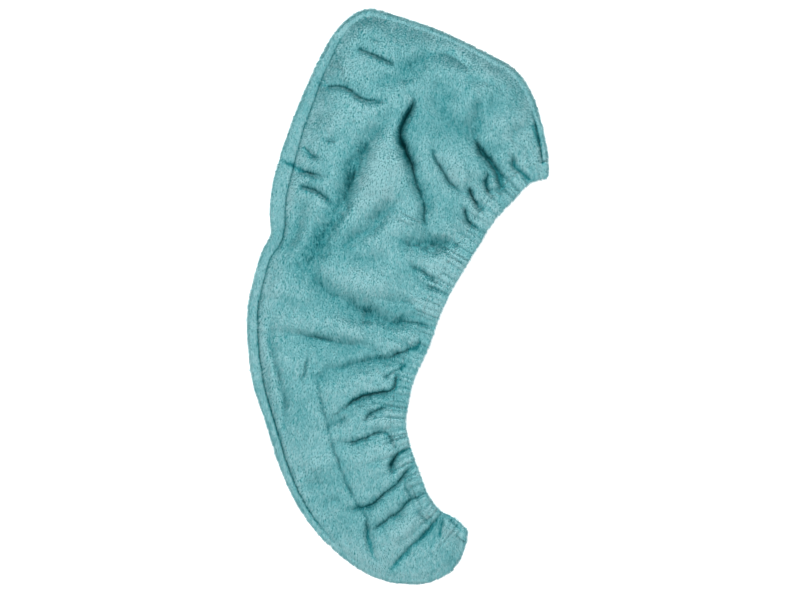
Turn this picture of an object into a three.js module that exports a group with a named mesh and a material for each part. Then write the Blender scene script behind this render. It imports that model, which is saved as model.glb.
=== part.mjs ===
import * as THREE from "three";

// A hair turban towel of teal plush cloth. It lies flat on a table, with the hood up and the tail down.
// Two layers of cloth are joined along the long bowed edge by a seam. The short hollow edge is the mouth,
// gathered by a hem that runs once round it, over the upper layer and back along the under one.
// All lengths are in millimetres. X runs across the towel, Y from the tail to the hood, Z up from the table.

const TOWEL_LENGTH = 630;
const TOWEL_WIDTH = 330;
const CLOTH_THICKNESS = 2.3;
const SEAM_GAP = 0.3;
const SEAM_THICKNESS = 2 * CLOTH_THICKNESS + SEAM_GAP;
const SEAM_WIDTH_MOST = 17;
const HEM_WIDTH_MOST = 18;
const HEM_THICKNESS = 4.4;
const HEM_TURN_RADIUS = 2.4;
const MOUTH_GAPE = 13;
const HOOD_LOFT = 23;
const MIDDLE_LOFT = 17;
const TAIL_LOFT = 12;
const EDGE_ROLL = 26;
const MOUTH_ROLL = 30;
const GATHER_COUNT = 66;
const GATHER_HEIGHT = 1.3;
const GATHER_REACH = 26;
const GATHER_CALM = 24;
const FOLD_DEPTH = 10;
const FOLD_REACH = 20;
const FOLD_FADE = 2.4;
const FOLD_CALM_AT_SEAM = 14;
const FOLD_CALM_AT_HEM = 16;
const RIM_RISE = 6;
const LEAST_ROOM = 2;
const DRAWN_OUT = 40;
const LINE_STEPS = 480;
const SLOPE_STEP = 4;

// The outer edge, from the hood's corner at the mouth, round the top and down the bowed side to the tail.
// Shares of the towel's width and length, both from its middle.
const OUTER_EDGE = [
  { across: 0.5, along: 0.209 },
  { across: 0.492, along: 0.255 },
  { across: 0.473, along: 0.303 },
  { across: 0.444, along: 0.35 },
  { across: 0.394, along: 0.391 },
  { across: 0.278, along: 0.427 },
  { across: 0.138, along: 0.462 },
  { across: 0.006, along: 0.486 },
  { across: -0.104, along: 0.5 },
  { across: -0.16, along: 0.486 },
  { across: -0.21, along: 0.459 },
  { across: -0.263, along: 0.411 },
  { across: -0.326, along: 0.338 },
  { across: -0.383, along: 0.258 },
  { across: -0.421, along: 0.181 },
  { across: -0.424, along: 0.134 },
  { across: -0.421, along: 0.112 },
  { across: -0.452, along: 0.077 },
  { across: -0.482, along: 0.023 },
  { across: -0.5, along: -0.024 },
  { across: -0.484, along: -0.144 },
  { across: -0.439, along: -0.219 },
  { across: -0.386, along: -0.305 },
  { across: -0.31, along: -0.383 },
  { across: -0.193, along: -0.45 },
  { across: -0.081, along: -0.488 },
  { across: 0.019, along: -0.5 },
  { across: 0.105, along: -0.497 },
  { across: 0.178, along: -0.476 },
  { across: 0.215, along: -0.444 },
  { across: 0.23, along: -0.409 },
];

// The mouth's edge, from the hood's corner to the tail's tip.
const MOUTH_EDGE = [
  { across: 0.5, along: 0.209 },
  { across: 0.44, along: 0.199 },
  { across: 0.381, along: 0.169 },
  { across: 0.318, along: 0.134 },
  { across: 0.261, along: 0.086 },
  { across: 0.195, along: 0.03 },
  { across: 0.148, along: -0.017 },
  { across: 0.095, along: -0.092 },
  { across: 0.05, along: -0.143 },
  { across: 0.032, along: -0.181 },
  { across: 0.021, along: -0.219 },
  { across: 0.036, along: -0.258 },
  { across: 0.067, along: -0.307 },
  { across: 0.102, along: -0.352 },
  { across: 0.138, along: -0.375 },
  { across: 0.185, along: -0.388 },
  { across: 0.23, along: -0.409 },
];

// How wide the flat seam edge is, by share of the way along the outer edge, as a share of its widest.
const SEAM_WIDTHS = [
  { way: 0, width: 0.32 },
  { way: 0.2, width: 0.32 },
  { way: 0.27, width: 0.36 },
  { way: 0.33, width: 0.62 },
  { way: 0.39, width: 0.82 },
  { way: 0.45, width: 1 },
  { way: 0.49, width: 0.94 },
  { way: 0.51, width: 0.78 },
  { way: 0.53, width: 0.6 },
  { way: 0.58, width: 0.62 },
  { way: 0.64, width: 0.62 },
  { way: 0.7, width: 0.5 },
  { way: 0.77, width: 0.4 },
  { way: 0.84, width: 0.34 },
  { way: 1, width: 0.34 },
];

// How wide the gathered hem is along the mouth, as a share of its widest.
const HEM_WIDTHS = [
  { way: 0, width: 0.9 },
  { way: 0.15, width: 1 },
  { way: 0.5, width: 1 },
  { way: 0.7, width: 0.85 },
  { way: 0.86, width: 0.62 },
  { way: 1, width: 0.56 },
];

// How high the upper hem stands over the lower one along the mouth, as a share of the mouth's gape.
const HEM_HEIGHTS = [
  { way: 0, height: 0 },
  { way: 0.04, height: 0.03 },
  { way: 0.18, height: 0.55 },
  { way: 0.36, height: 1 },
  { way: 0.62, height: 1 },
  { way: 0.82, height: 0.6 },
  { way: 0.96, height: 0.03 },
  { way: 1, height: 0 },
];

// Hollows and ridges pressed into the upper layer. Each one follows its points and sinks by its depth,
// or rises where the depth is below nothing. The reach is how far its flanks run to either side, and the
// lean makes the flank on the left of the way it runs wider, as a share of the reach. Depths are shares
// of FOLD_DEPTH, reaches are shares of FOLD_REACH.
const FOLDS = [
  { name: "long sharp crease in the middle of the hood", depth: 0.94, reach: 0.45, lean: 0.35,
    points: [[0.059, 0.345], [0.036, 0.323], [0.012, 0.295], [0.009, 0.272], [0.026, 0.246], [0.049, 0.218],
      [0.069, 0.19], [0.079, 0.161], [0.082, 0.134], [0.095, 0.11]] },
  { name: "broad hollow left of it", depth: 0.83, reach: 0.85, lean: -0.1,
    points: [[-0.051, 0.305], [-0.094, 0.274], [-0.13, 0.237], [-0.15, 0.206], [-0.17, 0.181],
      [-0.21, 0.15], [-0.247, 0.112], [-0.27, 0.084], [-0.31, 0.052], [-0.343, 0.023]] },
  { name: "soft start of the hooked crease", depth: 0.6, reach: 0.75, lean: 0,
    points: [[0.278, 0.345], [0.264, 0.319], [0.254, 0.293], [0.251, 0.269]] },
  { name: "hooked crease by the hood's corner", depth: 0.97, reach: 0.45, lean: 0.4,
    points: [[0.251, 0.274], [0.271, 0.253], [0.301, 0.237], [0.324, 0.222], [0.334, 0.204], [0.337, 0.192],
      [0.327, 0.18]] },
  { name: "thin bow below the hooked crease", depth: 0.49, reach: 0.35, lean: 0.2,
    points: [[0.115, 0.255], [0.125, 0.235], [0.145, 0.218], [0.172, 0.195], [0.201, 0.181],
      [0.228, 0.173]] },
  { name: "tuck at the hem, upper", depth: 0.67, reach: 0.3, lean: 0,
    points: [[0.235, 0.19], [0.245, 0.174], [0.261, 0.159], [0.288, 0.148]] },
  { name: "tuck at the hem, lower", depth: 0.5, reach: 0.3, lean: 0,
    points: [[0.215, 0.159], [0.221, 0.145], [0.231, 0.131], [0.258, 0.119]] },
  { name: "tuck at the hood's corner, outer", depth: 0.48, reach: 0.3, lean: 0,
    points: [[0.437, 0.303], [0.454, 0.289], [0.464, 0.277], [0.47, 0.262]] },
  { name: "tuck at the hood's corner, inner", depth: 0.57, reach: 0.3, lean: 0,
    points: [[0.381, 0.246], [0.387, 0.235], [0.4, 0.222], [0.42, 0.211], [0.444, 0.202]] },
  { name: "pressed line near the top", depth: 0.38, reach: 0.4, lean: 0.2,
    points: [[-0.144, 0.438], [-0.101, 0.424], [-0.057, 0.411], [-0.018, 0.399]] },
  { name: "pressed line across the top", depth: 0.44, reach: 0.45, lean: 0.4,
    points: [[-0.27, 0.373], [-0.23, 0.366], [-0.19, 0.363], [-0.16, 0.357], [-0.13, 0.347], [-0.101, 0.34],
      [-0.044, 0.338]] },
  { name: "soft dip under the top edge", depth: 0.44, reach: 0.6, lean: 0,
    points: [[0.022, 0.398], [0.055, 0.406], [0.089, 0.417], [0.128, 0.422]] },
  { name: "soft dip beyond it", depth: 0.24, reach: 0.45, lean: 0,
    points: [[0.128, 0.429], [0.188, 0.415], [0.238, 0.399]] },
  { name: "soft hollow above the long crease", depth: 0.28, reach: 0.55, lean: 0,
    points: [[0.118, 0.378], [0.145, 0.363], [0.172, 0.356], [0.211, 0.354]] },
  { name: "soft line across the hood's corner", depth: 0.25, reach: 0.45, lean: 0,
    points: [[0.198, 0.378], [0.274, 0.373], [0.327, 0.361], [0.377, 0.345]] },
  { name: "soft dip right of the long crease", depth: 0.3, reach: 0.7, lean: 0,
    points: [[0.089, 0.328], [0.128, 0.331], [0.165, 0.312], [0.172, 0.289]] },
  { name: "short fold at the seam, upper", depth: 0.46, reach: 0.3, lean: 0,
    points: [[-0.389, 0.241], [-0.356, 0.23], [-0.329, 0.22], [-0.293, 0.211], [-0.247, 0.206]] },
  { name: "short fold at the seam, lower", depth: 0.43, reach: 0.3, lean: 0.2,
    points: [[-0.326, 0.194], [-0.286, 0.183], [-0.25, 0.173], [-0.223, 0.159]] },
  { name: "soft hollow below the bulge", depth: 0.52, reach: 0.65, lean: 0,
    points: [[0.006, 0.162], [-0.047, 0.141], [-0.074, 0.131], [-0.12, 0.108], [-0.167, 0.093],
      [-0.213, 0.082]] },
  { name: "fold that runs to the hem", depth: 0.65, reach: 0.65, lean: 0,
    points: [[-0.001, 0.098], [0.045, 0.087], [0.095, 0.084], [0.145, 0.091], [0.188, 0.101]] },
  { name: "soft fold across the waist", depth: 0.36, reach: 0.6, lean: 0,
    points: [[-0.177, 0.059], [-0.127, 0.063], [-0.081, 0.061], [-0.021, 0.068]] },
  { name: "thin fold at the hem, waist", depth: 0.38, reach: 0.3, lean: 0.2,
    points: [[0.032, 0.056], [0.055, 0.049], [0.075, 0.044], [0.105, 0.035], [0.135, 0.026]] },
  { name: "broad slanting fold", depth: 0.68, reach: 0.75, lean: -0.2,
    points: [[-0.31, 0.052], [-0.28, 0.037], [-0.243, 0.012], [-0.197, -0.005], [-0.14, -0.024],
      [-0.081, -0.035], [-0.011, -0.043]] },
  { name: "end of it at the hem", depth: 0.43, reach: 0.4, lean: 0,
    points: [[-0.011, -0.043], [0.062, -0.045], [0.115, -0.054]] },
  { name: "soft fold below it", depth: 0.52, reach: 0.5, lean: -0.5,
    points: [[-0.419, -0.061], [-0.366, -0.064], [-0.32, -0.066], [-0.273, -0.071], [-0.223, -0.078],
      [-0.167, -0.082], [-0.101, -0.087]] },
  { name: "fold out of the hem, upper", depth: 0.65, reach: 0.45, lean: 0.45,
    points: [[0.072, -0.068], [0.065, -0.082], [0.049, -0.09], [0.019, -0.094], [-0.021, -0.103]] },
  { name: "soft end of it", depth: 0.57, reach: 0.6, lean: 0.5,
    points: [[0.019, -0.094], [-0.028, -0.104], [-0.117, -0.115], [-0.243, -0.127]] },
  { name: "short fold above the deep one", depth: 0.43, reach: 0.3, lean: 0.2,
    points: [[0.026, -0.115], [0.012, -0.125], [-0.018, -0.134], [-0.047, -0.141]] },
  { name: "deep fold out of the hem", depth: 0.97, reach: 0.5, lean: 0.55,
    points: [[0.009, -0.132], [0.002, -0.144], [-0.011, -0.157], [-0.031, -0.162], [-0.071, -0.165],
      [-0.117, -0.171], [-0.154, -0.179], [-0.19, -0.192]] },
  { name: "short fold under it", depth: 0.52, reach: 0.3, lean: 0.2,
    points: [[-0.024, -0.186], [-0.061, -0.195], [-0.091, -0.202], [-0.11, -0.216]] },
  { name: "short fold in the tail", depth: 0.35, reach: 0.4, lean: 0,
    points: [[-0.16, -0.209], [-0.2, -0.216], [-0.24, -0.23]] },
  { name: "fold out of the hem, middle", depth: 0.64, reach: 0.4, lean: 0.4,
    points: [[-0.008, -0.263], [-0.018, -0.253], [-0.024, -0.242], [-0.041, -0.233], [-0.064, -0.233],
      [-0.091, -0.24], [-0.134, -0.249], [-0.193, -0.251]] },
  { name: "tuck below it", depth: 0.75, reach: 0.3, lean: 0.2,
    points: [[0.036, -0.263], [0.012, -0.27], [-0.008, -0.28], [-0.021, -0.294], [-0.024, -0.31]] },
  { name: "fold out of the hem, tail", depth: 0.72, reach: 0.4, lean: 0.35,
    points: [[0.059, -0.291], [0.032, -0.301], [0.012, -0.315], [-0.001, -0.326], [-0.041, -0.341],
      [-0.077, -0.357], [-0.12, -0.366], [-0.16, -0.368]] },
  { name: "soft fold in the tail's end", depth: 0.57, reach: 0.4, lean: 0.3,
    points: [[0.085, -0.338], [0.065, -0.35], [0.039, -0.355], [0.009, -0.371], [-0.028, -0.383],
      [-0.061, -0.397], [-0.094, -0.408]] },
  { name: "slanting crease in the tail's end", depth: 0.67, reach: 0.35, lean: 0.35,
    points: [[0.142, -0.378], [0.115, -0.395], [0.099, -0.408], [0.059, -0.429], [0.022, -0.449],
      [-0.011, -0.469], [-0.031, -0.481]] },
  { name: "long pressed crease down the tail", depth: 0.21, reach: 0.35, lean: 0.2,
    points: [[-0.276, -0.103], [-0.273, -0.131], [-0.263, -0.158], [-0.253, -0.193], [-0.233, -0.228],
      [-0.217, -0.259], [-0.2, -0.284], [-0.18, -0.312], [-0.15, -0.343], [-0.117, -0.378],
      [-0.101, -0.408], [-0.091, -0.434], [-0.071, -0.46]] },
  { name: "short crease beside it", depth: 0.22, reach: 0.3, lean: 0,
    points: [[-0.296, -0.099], [-0.306, -0.122], [-0.316, -0.153]] },
  { name: "foot of the long crease", depth: 0.39, reach: 0.35, lean: 0,
    points: [[-0.107, -0.397], [-0.094, -0.427], [-0.077, -0.458]] },
  { name: "crease beside the seam", depth: 0.32, reach: 0.3, lean: 0.2,
    points: [[-0.419, -0.038], [-0.426, -0.059], [-0.426, -0.075], [-0.412, -0.101], [-0.399, -0.134],
      [-0.386, -0.165], [-0.376, -0.207], [-0.376, -0.249]] },
  { name: "bulge between the two long hollows", depth: -0.6, reach: 1.2, lean: 0,
    points: [[-0.021, 0.255], [-0.044, 0.211], [-0.087, 0.171]] },
  { name: "small bulge near the top", depth: -0.3, reach: 0.8, lean: 0,
    points: [[-0.16, 0.394], [-0.187, 0.391]] },
  { name: "bulge beside the broad hollow", depth: -0.35, reach: 0.85, lean: 0,
    points: [[-0.21, 0.321], [-0.227, 0.281]] },
  { name: "bulge at the end of the long crease", depth: -0.35, reach: 0.8, lean: 0,
    points: [[0.019, 0.129], [0.032, 0.141]] },
  { name: "bulge beside the hooked crease", depth: -0.4, reach: 0.75, lean: 0,
    points: [[0.178, 0.228], [0.211, 0.206], [0.238, 0.197]] },
  { name: "bulge in the hood's corner", depth: -0.3, reach: 0.6, lean: 0,
    points: [[0.387, 0.272], [0.354, 0.255]] },
  { name: "bulge across the waist", depth: -0.4, reach: 0.75, lean: 0,
    points: [[-0.177, 0.042], [-0.11, 0.019], [-0.028, 0.025]] },
  { name: "ridge between the hem folds", depth: -0.35, reach: 0.6, lean: 0,
    points: [[-0.077, -0.132], [-0.16, -0.143], [-0.243, -0.153]] },
  { name: "ridge under the slanting fold", depth: -0.3, reach: 0.6, lean: 0,
    points: [[-0.253, -0.038], [-0.177, -0.052], [-0.094, -0.059]] },
  { name: "ridge in the tail", depth: -0.3, reach: 0.45, lean: 0,
    points: [[0.006, -0.334], [-0.044, -0.355], [-0.087, -0.376]] },
  { name: "ridge in the tail's end", depth: -0.3, reach: 0.45, lean: 0,
    points: [[0.072, -0.373], [0.022, -0.399], [-0.028, -0.425]] },
];

// The outline's own middle, which lies a little off the middle that the shares are counted from.
const MIDDLE = new THREE.Vector2(-0.0013 * TOWEL_WIDTH, -0.00025 * TOWEL_LENGTH);

function placed(share) {
  return new THREE.Vector2(share.across * TOWEL_WIDTH, share.along * TOWEL_LENGTH).sub(MIDDLE);
}

// A smooth line through points, as evenly spaced places.
function smoothLine(points, count) {
  const corners = points.map((point) => new THREE.Vector3(point.x, point.y, 0));
  const curve = new THREE.CatmullRomCurve3(corners, false, "centripetal");
  curve.arcLengthDivisions = 1200;
  return curve.getSpacedPoints(count).map((point) => new THREE.Vector2(point.x, point.y));
}

// A value read from a table by share of the way, eased between its rows.
function tableValue(table, column, way) {
  for (let row = 1; row < table.length; row += 1) {
    const before = table[row - 1];
    const after = table[row];
    if (way <= after.way) {
      const share = THREE.MathUtils.smoothstep(way, before.way, after.way);
      return THREE.MathUtils.lerp(before[column], after[column], share);
    }
  }
  return table[table.length - 1][column];
}

// A line moved inwards by its own width at each place, and drawn out straight beyond both ends.
function insetLine(line, side, widthAt) {
  const last = line.length - 1;
  const moved = line.map((point, index) => {
    const before = line[Math.max(index - 5, 0)];
    const after = line[Math.min(index + 5, last)];
    const along = after.clone().sub(before).normalize();
    const inwards = new THREE.Vector2(-along.y * side, along.x * side);
    return point.clone().addScaledVector(inwards, widthAt(index / last));
  });
  const start = moved[0].clone().sub(moved[5]).setLength(DRAWN_OUT).add(moved[0]);
  const end = moved[last].clone().sub(moved[last - 5]).setLength(DRAWN_OUT).add(moved[last]);
  return [start, ...moved, end];
}

// Where two lines cross: how far along each one it happens, counted in points. It takes the crossing
// nearest the start of the first line, or nearest its end.
function crossing(first, second, fromEnd) {
  const found = [];
  for (let i = 0; i < first.length - 1; i += 1) {
    const step = first[i + 1].clone().sub(first[i]);
    for (let j = 0; j < second.length - 1; j += 1) {
      const other = second[j + 1].clone().sub(second[j]);
      const between = second[j].clone().sub(first[i]);
      const turn = step.cross(other);
      const alongFirst = between.cross(other) / turn;
      const alongSecond = between.cross(step) / turn;
      if (alongFirst >= 0 && alongFirst < 1 && alongSecond >= 0 && alongSecond < 1) {
        found.push([i + alongFirst, j + alongSecond]);
      }
    }
  }
  return fromEnd ? found[found.length - 1] : found[0];
}

function placeOn(line, index) {
  const whole = Math.min(Math.max(Math.floor(index), 0), line.length - 2);
  return line[whole].clone().lerp(line[whole + 1], index - whole);
}

// Evenly spaced places on a line between two places on it, counted in points as crossings are.
function spreadOver(line, from, to, count) {
  const marks = [from];
  for (let index = Math.floor(from) + 1; index < to; index += 1) {
    marks.push(index);
  }
  marks.push(to);
  const kept = marks.map((mark) => placeOn(line, mark));
  const lengths = [0];
  for (let index = 1; index < kept.length; index += 1) {
    lengths.push(lengths[index - 1] + kept[index].distanceTo(kept[index - 1]));
  }
  const whole = lengths[lengths.length - 1];
  const spread = [];
  let at = 0;
  for (let index = 0; index <= count; index += 1) {
    const wanted = (whole * index) / count;
    while (at < kept.length - 2 && lengths[at + 1] < wanted) {
      at += 1;
    }
    const share = (wanted - lengths[at]) / Math.max(lengths[at + 1] - lengths[at], 1e-9);
    spread.push(marks[at] + (marks[at + 1] - marks[at]) * share);
  }
  return spread;
}

function partOf(line, from, to, count) {
  return spreadOver(line, from, to, count).map((index) => placeOn(line, index));
}

// How far a place lies from a line, how far along the line that is, and on which side.
function nearest(line, x, y) {
  let best = { distance: Infinity, way: 0, side: 1 };
  for (let index = 0; index < line.length - 1; index += 1) {
    const ax = line[index].x;
    const ay = line[index].y;
    const bx = line[index + 1].x - ax;
    const by = line[index + 1].y - ay;
    const share = Math.min(Math.max(((x - ax) * bx + (y - ay) * by) / (bx * bx + by * by), 0), 1);
    const dx = x - ax - bx * share;
    const dy = y - ay - by * share;
    const distance = Math.hypot(dx, dy);
    if (distance < best.distance) {
      best = { distance, way: (index + share) / (line.length - 1), side: bx * dy - by * dx > 0 ? 1 : -1 };
    }
  }
  return best;
}

const outerEdge = smoothLine(OUTER_EDGE.map(placed), 600);
const mouthEdge = smoothLine(MOUTH_EDGE.map(placed), 360);
const seamWidthAt = (way) => SEAM_WIDTH_MOST * tableValue(SEAM_WIDTHS, "width", way);
const hemWidthAt = (way) => HEM_WIDTH_MOST * tableValue(HEM_WIDTHS, "width", way);

const hemInner = insetLine(mouthEdge, -1, hemWidthAt);
const hemBeyond = insetLine(mouthEdge, -1, (way) => hemWidthAt(way) + SEAM_GAP);
const seamInner = insetLine(outerEdge, 1, seamWidthAt);
const seamBeyond = insetLine(outerEdge, 1, (way) => seamWidthAt(way) + SEAM_GAP);
const outerLong = insetLine(outerEdge, 1, () => 0);
const mouthLong = insetLine(mouthEdge, -1, () => 0);

// The panels' rims, from the hood's corner to the tail's tip, along the seam and along the hem.
const rimStart = crossing(seamBeyond, hemBeyond, false);
const rimEnd = crossing(seamBeyond, hemBeyond, true);
const seamRim = partOf(seamBeyond, rimStart[0], rimEnd[0], 600);
const hemRim = partOf(hemBeyond, rimStart[1], rimEnd[1], 360);
const seamRimCoarse = seamRim.filter((point, index) => index % 4 === 0);
const hemRimCoarse = hemRim.filter((point, index) => index % 4 === 0);

// How high the middle of the upper hem lies over the table.
function hemMiddle(way) {
  const closed = HEM_THICKNESS / 2 + 2 * HEM_TURN_RADIUS;
  const open = MOUTH_GAPE - 2 * HEM_TURN_RADIUS + HEM_THICKNESS;
  return closed + open * tableValue(HEM_HEIGHTS, "height", way);
}

// Each fold with its line in millimetres and the box outside which nothing of it is felt.
const foldLines = FOLDS.map((fold) => {
  const line = smoothLine(fold.points.map(([across, along]) => placed({ across, along })), 24);
  const widest = fold.reach * FOLD_REACH * (1 + Math.abs(fold.lean));
  return {
    depth: fold.depth * FOLD_DEPTH,
    reach: fold.reach * FOLD_REACH,
    lean: fold.lean,
    line,
    felt: new THREE.Box2().setFromPoints(line).expandByScalar(FOLD_FADE * widest),
  };
});

// How far the folds sink the upper layer at a place. A fold runs out softly at both ends.
function foldDepth(x, y) {
  const place = new THREE.Vector2(x, y);
  let sum = 0;
  for (const fold of foldLines) {
    if (!fold.felt.containsPoint(place)) {
      continue;
    }
    const near = nearest(fold.line, x, y);
    const reach = fold.reach * (1 + fold.lean * near.side);
    const flank = (near.distance / reach) ** 2;
    const taper = Math.min(1, 0.35 + 3 * Math.min(near.way, 1 - near.way));
    sum += fold.depth * taper * Math.exp(-flank * 1.4);
  }
  return sum;
}

// The height of the upper layer's outer face.
function upperHeight(x, y) {
  const seam = nearest(seamRimCoarse, x, y);
  const hem = nearest(hemRimCoarse, x, y);
  const along = y / TOWEL_LENGTH;
  const hood = THREE.MathUtils.smoothstep(along, -0.12, 0.12);
  const tail = THREE.MathUtils.smoothstep(-along, 0.16, 0.36);
  const loft = MIDDLE_LOFT + (HOOD_LOFT - MIDDLE_LOFT) * hood + (TAIL_LOFT - MIDDLE_LOFT) * tail;
  const hemTop = hemMiddle(hem.way) + CLOTH_THICKNESS / 2;
  const atHem = Math.exp(-hem.distance / MOUTH_ROLL);
  const inside = THREE.MathUtils.lerp(loft + SEAM_THICKNESS, hemTop, atHem);
  const rise = 1 - Math.exp(-seam.distance / EDGE_ROLL);
  const freeOfHem = 0.5 + 0.5 * Math.min(1, hem.distance / FOLD_CALM_AT_HEM);
  const folds = foldDepth(x, y) * Math.min(1, seam.distance / FOLD_CALM_AT_SEAM) * freeOfHem;
  const high = SEAM_THICKNESS + (inside - SEAM_THICKNESS) * rise - folds;
  const least = SEAM_THICKNESS + 0.4 * Math.min(seam.distance, RIM_RISE);
  return high > least + LEAST_ROOM ? high : least + LEAST_ROOM * Math.exp((high - least) / LEAST_ROOM - 1);
}

// The seam side of a panel is cut into the round of the top, the bowed side and the round of the tail.
// The seam's own edge is cut at the same places, so that the two run along each other.
const TOP_CORNER_WAY = 0.268;
const TAIL_CORNER_WAY = 0.945;
const PANEL_ROWS = GATHER_COUNT;
const PANEL_COLUMNS = 23;
const topCorner = THREE.MathUtils.lerp(rimStart[0], rimEnd[0], TOP_CORNER_WAY);
const tailCorner = THREE.MathUtils.lerp(rimStart[0], rimEnd[0], TAIL_CORNER_WAY);
const topMarks = spreadOver(seamBeyond, rimStart[0], topCorner, PANEL_COLUMNS);
const sideMarks = spreadOver(seamBeyond, topCorner, tailCorner, PANEL_ROWS);
const tailMarks = spreadOver(seamBeyond, tailCorner, rimEnd[0], PANEL_COLUMNS);
const onSeam = (mark) => placeOn(seamBeyond, mark);
const top = topMarks.map(onSeam).reverse();
const left = sideMarks.map(onSeam);
const bottom = tailMarks.map(onSeam);
const right = partOf(hemBeyond, rimStart[1], rimEnd[1], PANEL_ROWS);

// A grid of places that fills a panel between its four sides.
function panelPlaces() {
  const rows = PANEL_ROWS;
  const columns = PANEL_COLUMNS;
  const places = [];
  for (let row = 0; row <= rows; row += 1) {
    for (let column = 0; column <= columns; column += 1) {
      const u = column / columns;
      const v = row / rows;
      const place = left[row].clone().multiplyScalar(1 - u).addScaledVector(right[row], u);
      place.addScaledVector(top[column], 1 - v).addScaledVector(bottom[column], v);
      place.addScaledVector(left[0], -(1 - u) * (1 - v)).addScaledVector(right[0], -u * (1 - v));
      place.addScaledVector(left[rows], -(1 - u) * v).addScaledVector(right[rows], -u * v);
      places.push(place);
    }
  }
  return places;
}

// A mesh from points and the triangles between them.
function meshOf(name, colour, points, faces) {
  const geometry = new THREE.BufferGeometry();
  geometry.setAttribute("position", new THREE.Float32BufferAttribute(points.flat(), 3));
  geometry.setIndex(faces.flat());
  geometry.computeVertexNormals();
  const material = new THREE.MeshStandardMaterial({ color: colour, roughness: 0.95, metalness: 0 });
  const mesh = new THREE.Mesh(geometry, material);
  mesh.name = name;
  return mesh;
}

// A closed wall of cloth over a grid of places, with its outer and inner faces joined round the rim.
function clothPanel(name, colour, places, outer, inner) {
  const points = [
    ...places.map((place, index) => [place.x, place.y, outer[index]]),
    ...places.map((place, index) => [place.x, place.y, inner[index]]),
  ];
  const rows = PANEL_ROWS;
  const columns = PANEL_COLUMNS;
  const faces = [];
  const width = columns + 1;
  const under = places.length;
  for (let row = 0; row < rows; row += 1) {
    for (let column = 0; column < columns; column += 1) {
      const a = row * width + column;
      const b = a + 1;
      const c = a + width;
      const d = c + 1;
      const flatter = Math.abs(outer[a] - outer[d]) <= Math.abs(outer[b] - outer[c]);
      const split = flatter ? [[a, c, d], [a, d, b]] : [[a, c, b], [b, c, d]];
      for (const [i, j, k] of split) {
        faces.push([i, j, k]);
        faces.push([k + under, j + under, i + under]);
      }
    }
  }
  const rim = [];
  for (let column = 0; column < columns; column += 1) rim.push(column);
  for (let row = 0; row < rows; row += 1) rim.push(row * width + columns);
  for (let column = columns; column > 0; column -= 1) rim.push(rows * width + column);
  for (let row = rows; row > 0; row -= 1) rim.push(row * width);
  rim.forEach((here, index) => {
    const next = rim[(index + 1) % rim.length];
    faces.push([here, next, next + under]);
    faces.push([here, next + under, here + under]);
  });
  return meshOf(name, colour, points, faces);
}

// The slope of the upper layer, found a little to each side of a place.
function steepness(x, y) {
  const east = upperHeight(x + SLOPE_STEP, y) - upperHeight(x - SLOPE_STEP, y);
  const north = upperHeight(x, y + SLOPE_STEP) - upperHeight(x, y - SLOPE_STEP);
  return Math.hypot(east, north) / (2 * SLOPE_STEP);
}

function upperPanel() {
  const places = panelPlaces();
  const outer = places.map((place, index) => {
    const column = index % (PANEL_COLUMNS + 1);
    const row = Math.floor(index / (PANEL_COLUMNS + 1));
    const hem = nearest(hemRimCoarse, place.x, place.y);
    const seam = nearest(seamRimCoarse, place.x, place.y);
    const fade = Math.exp(-hem.distance / GATHER_REACH) * Math.min(1, seam.distance / GATHER_CALM);
    const gather = GATHER_HEIGHT * fade * (row % 2 ? 1 : -1) * (column > 8 ? 1 : 0);
    return upperHeight(place.x, place.y) + gather;
  });
  const inner = places.map((place, index) => {
    const slope = Math.min(steepness(place.x, place.y), 1.1);
    return Math.max(outer[index] - CLOTH_THICKNESS * Math.hypot(1, slope), CLOTH_THICKNESS + SEAM_GAP);
  });
  return clothPanel("upper_panel", 0x6aa8af, places, outer, inner);
}

// The under layer lies flat on the table, with the same rim as the upper one. Its faces run from the seam
// side to the hem side, each side taken in its own even steps.
function underPanel() {
  const seamSide = [...topMarks, ...sideMarks.slice(1), ...tailMarks.slice(1)].map(onSeam);
  const lastSeam = seamSide.length - 1;
  const lastHem = right.length - 1;
  const rim = [...seamSide, ...right.slice(1, -1).reverse()];
  const hemPoint = (index) => (index === 0 ? 0 : lastSeam + lastHem - index);
  const faces = [];
  const under = rim.length;
  let onSeamSide = 0;
  let onHemSide = 0;
  while (onSeamSide < lastSeam || onHemSide < lastHem) {
    const hem = hemPoint(onHemSide);
    const seamNext = onHemSide === lastHem || (onSeamSide + 1) / lastSeam <= (onHemSide + 1) / lastHem;
    const third = seamNext && onSeamSide < lastSeam ? onSeamSide + 1 : hemPoint(onHemSide + 1);
    if (third === onSeamSide + 1) {
      if (hem !== onSeamSide && hem !== third) {
        faces.push([onSeamSide, third, hem]);
      }
      onSeamSide += 1;
    } else {
      if (hem !== onSeamSide && third !== onSeamSide) {
        faces.push([onSeamSide, third, hem]);
      }
      onHemSide += 1;
    }
  }
  for (const [i, j, k] of [...faces]) {
    faces.push([k + under, j + under, i + under]);
  }
  rim.forEach((place, here) => {
    const next = (here + 1) % rim.length;
    faces.push([here + under, next + under, next]);
    faces.push([here + under, next, here]);
  });
  const points = [
    ...rim.map((place) => [place.x, place.y, CLOTH_THICKNESS]),
    ...rim.map((place) => [place.x, place.y, 0]),
  ];
  return meshOf("under_panel", 0x5f9fa6, points, faces);
}

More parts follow.
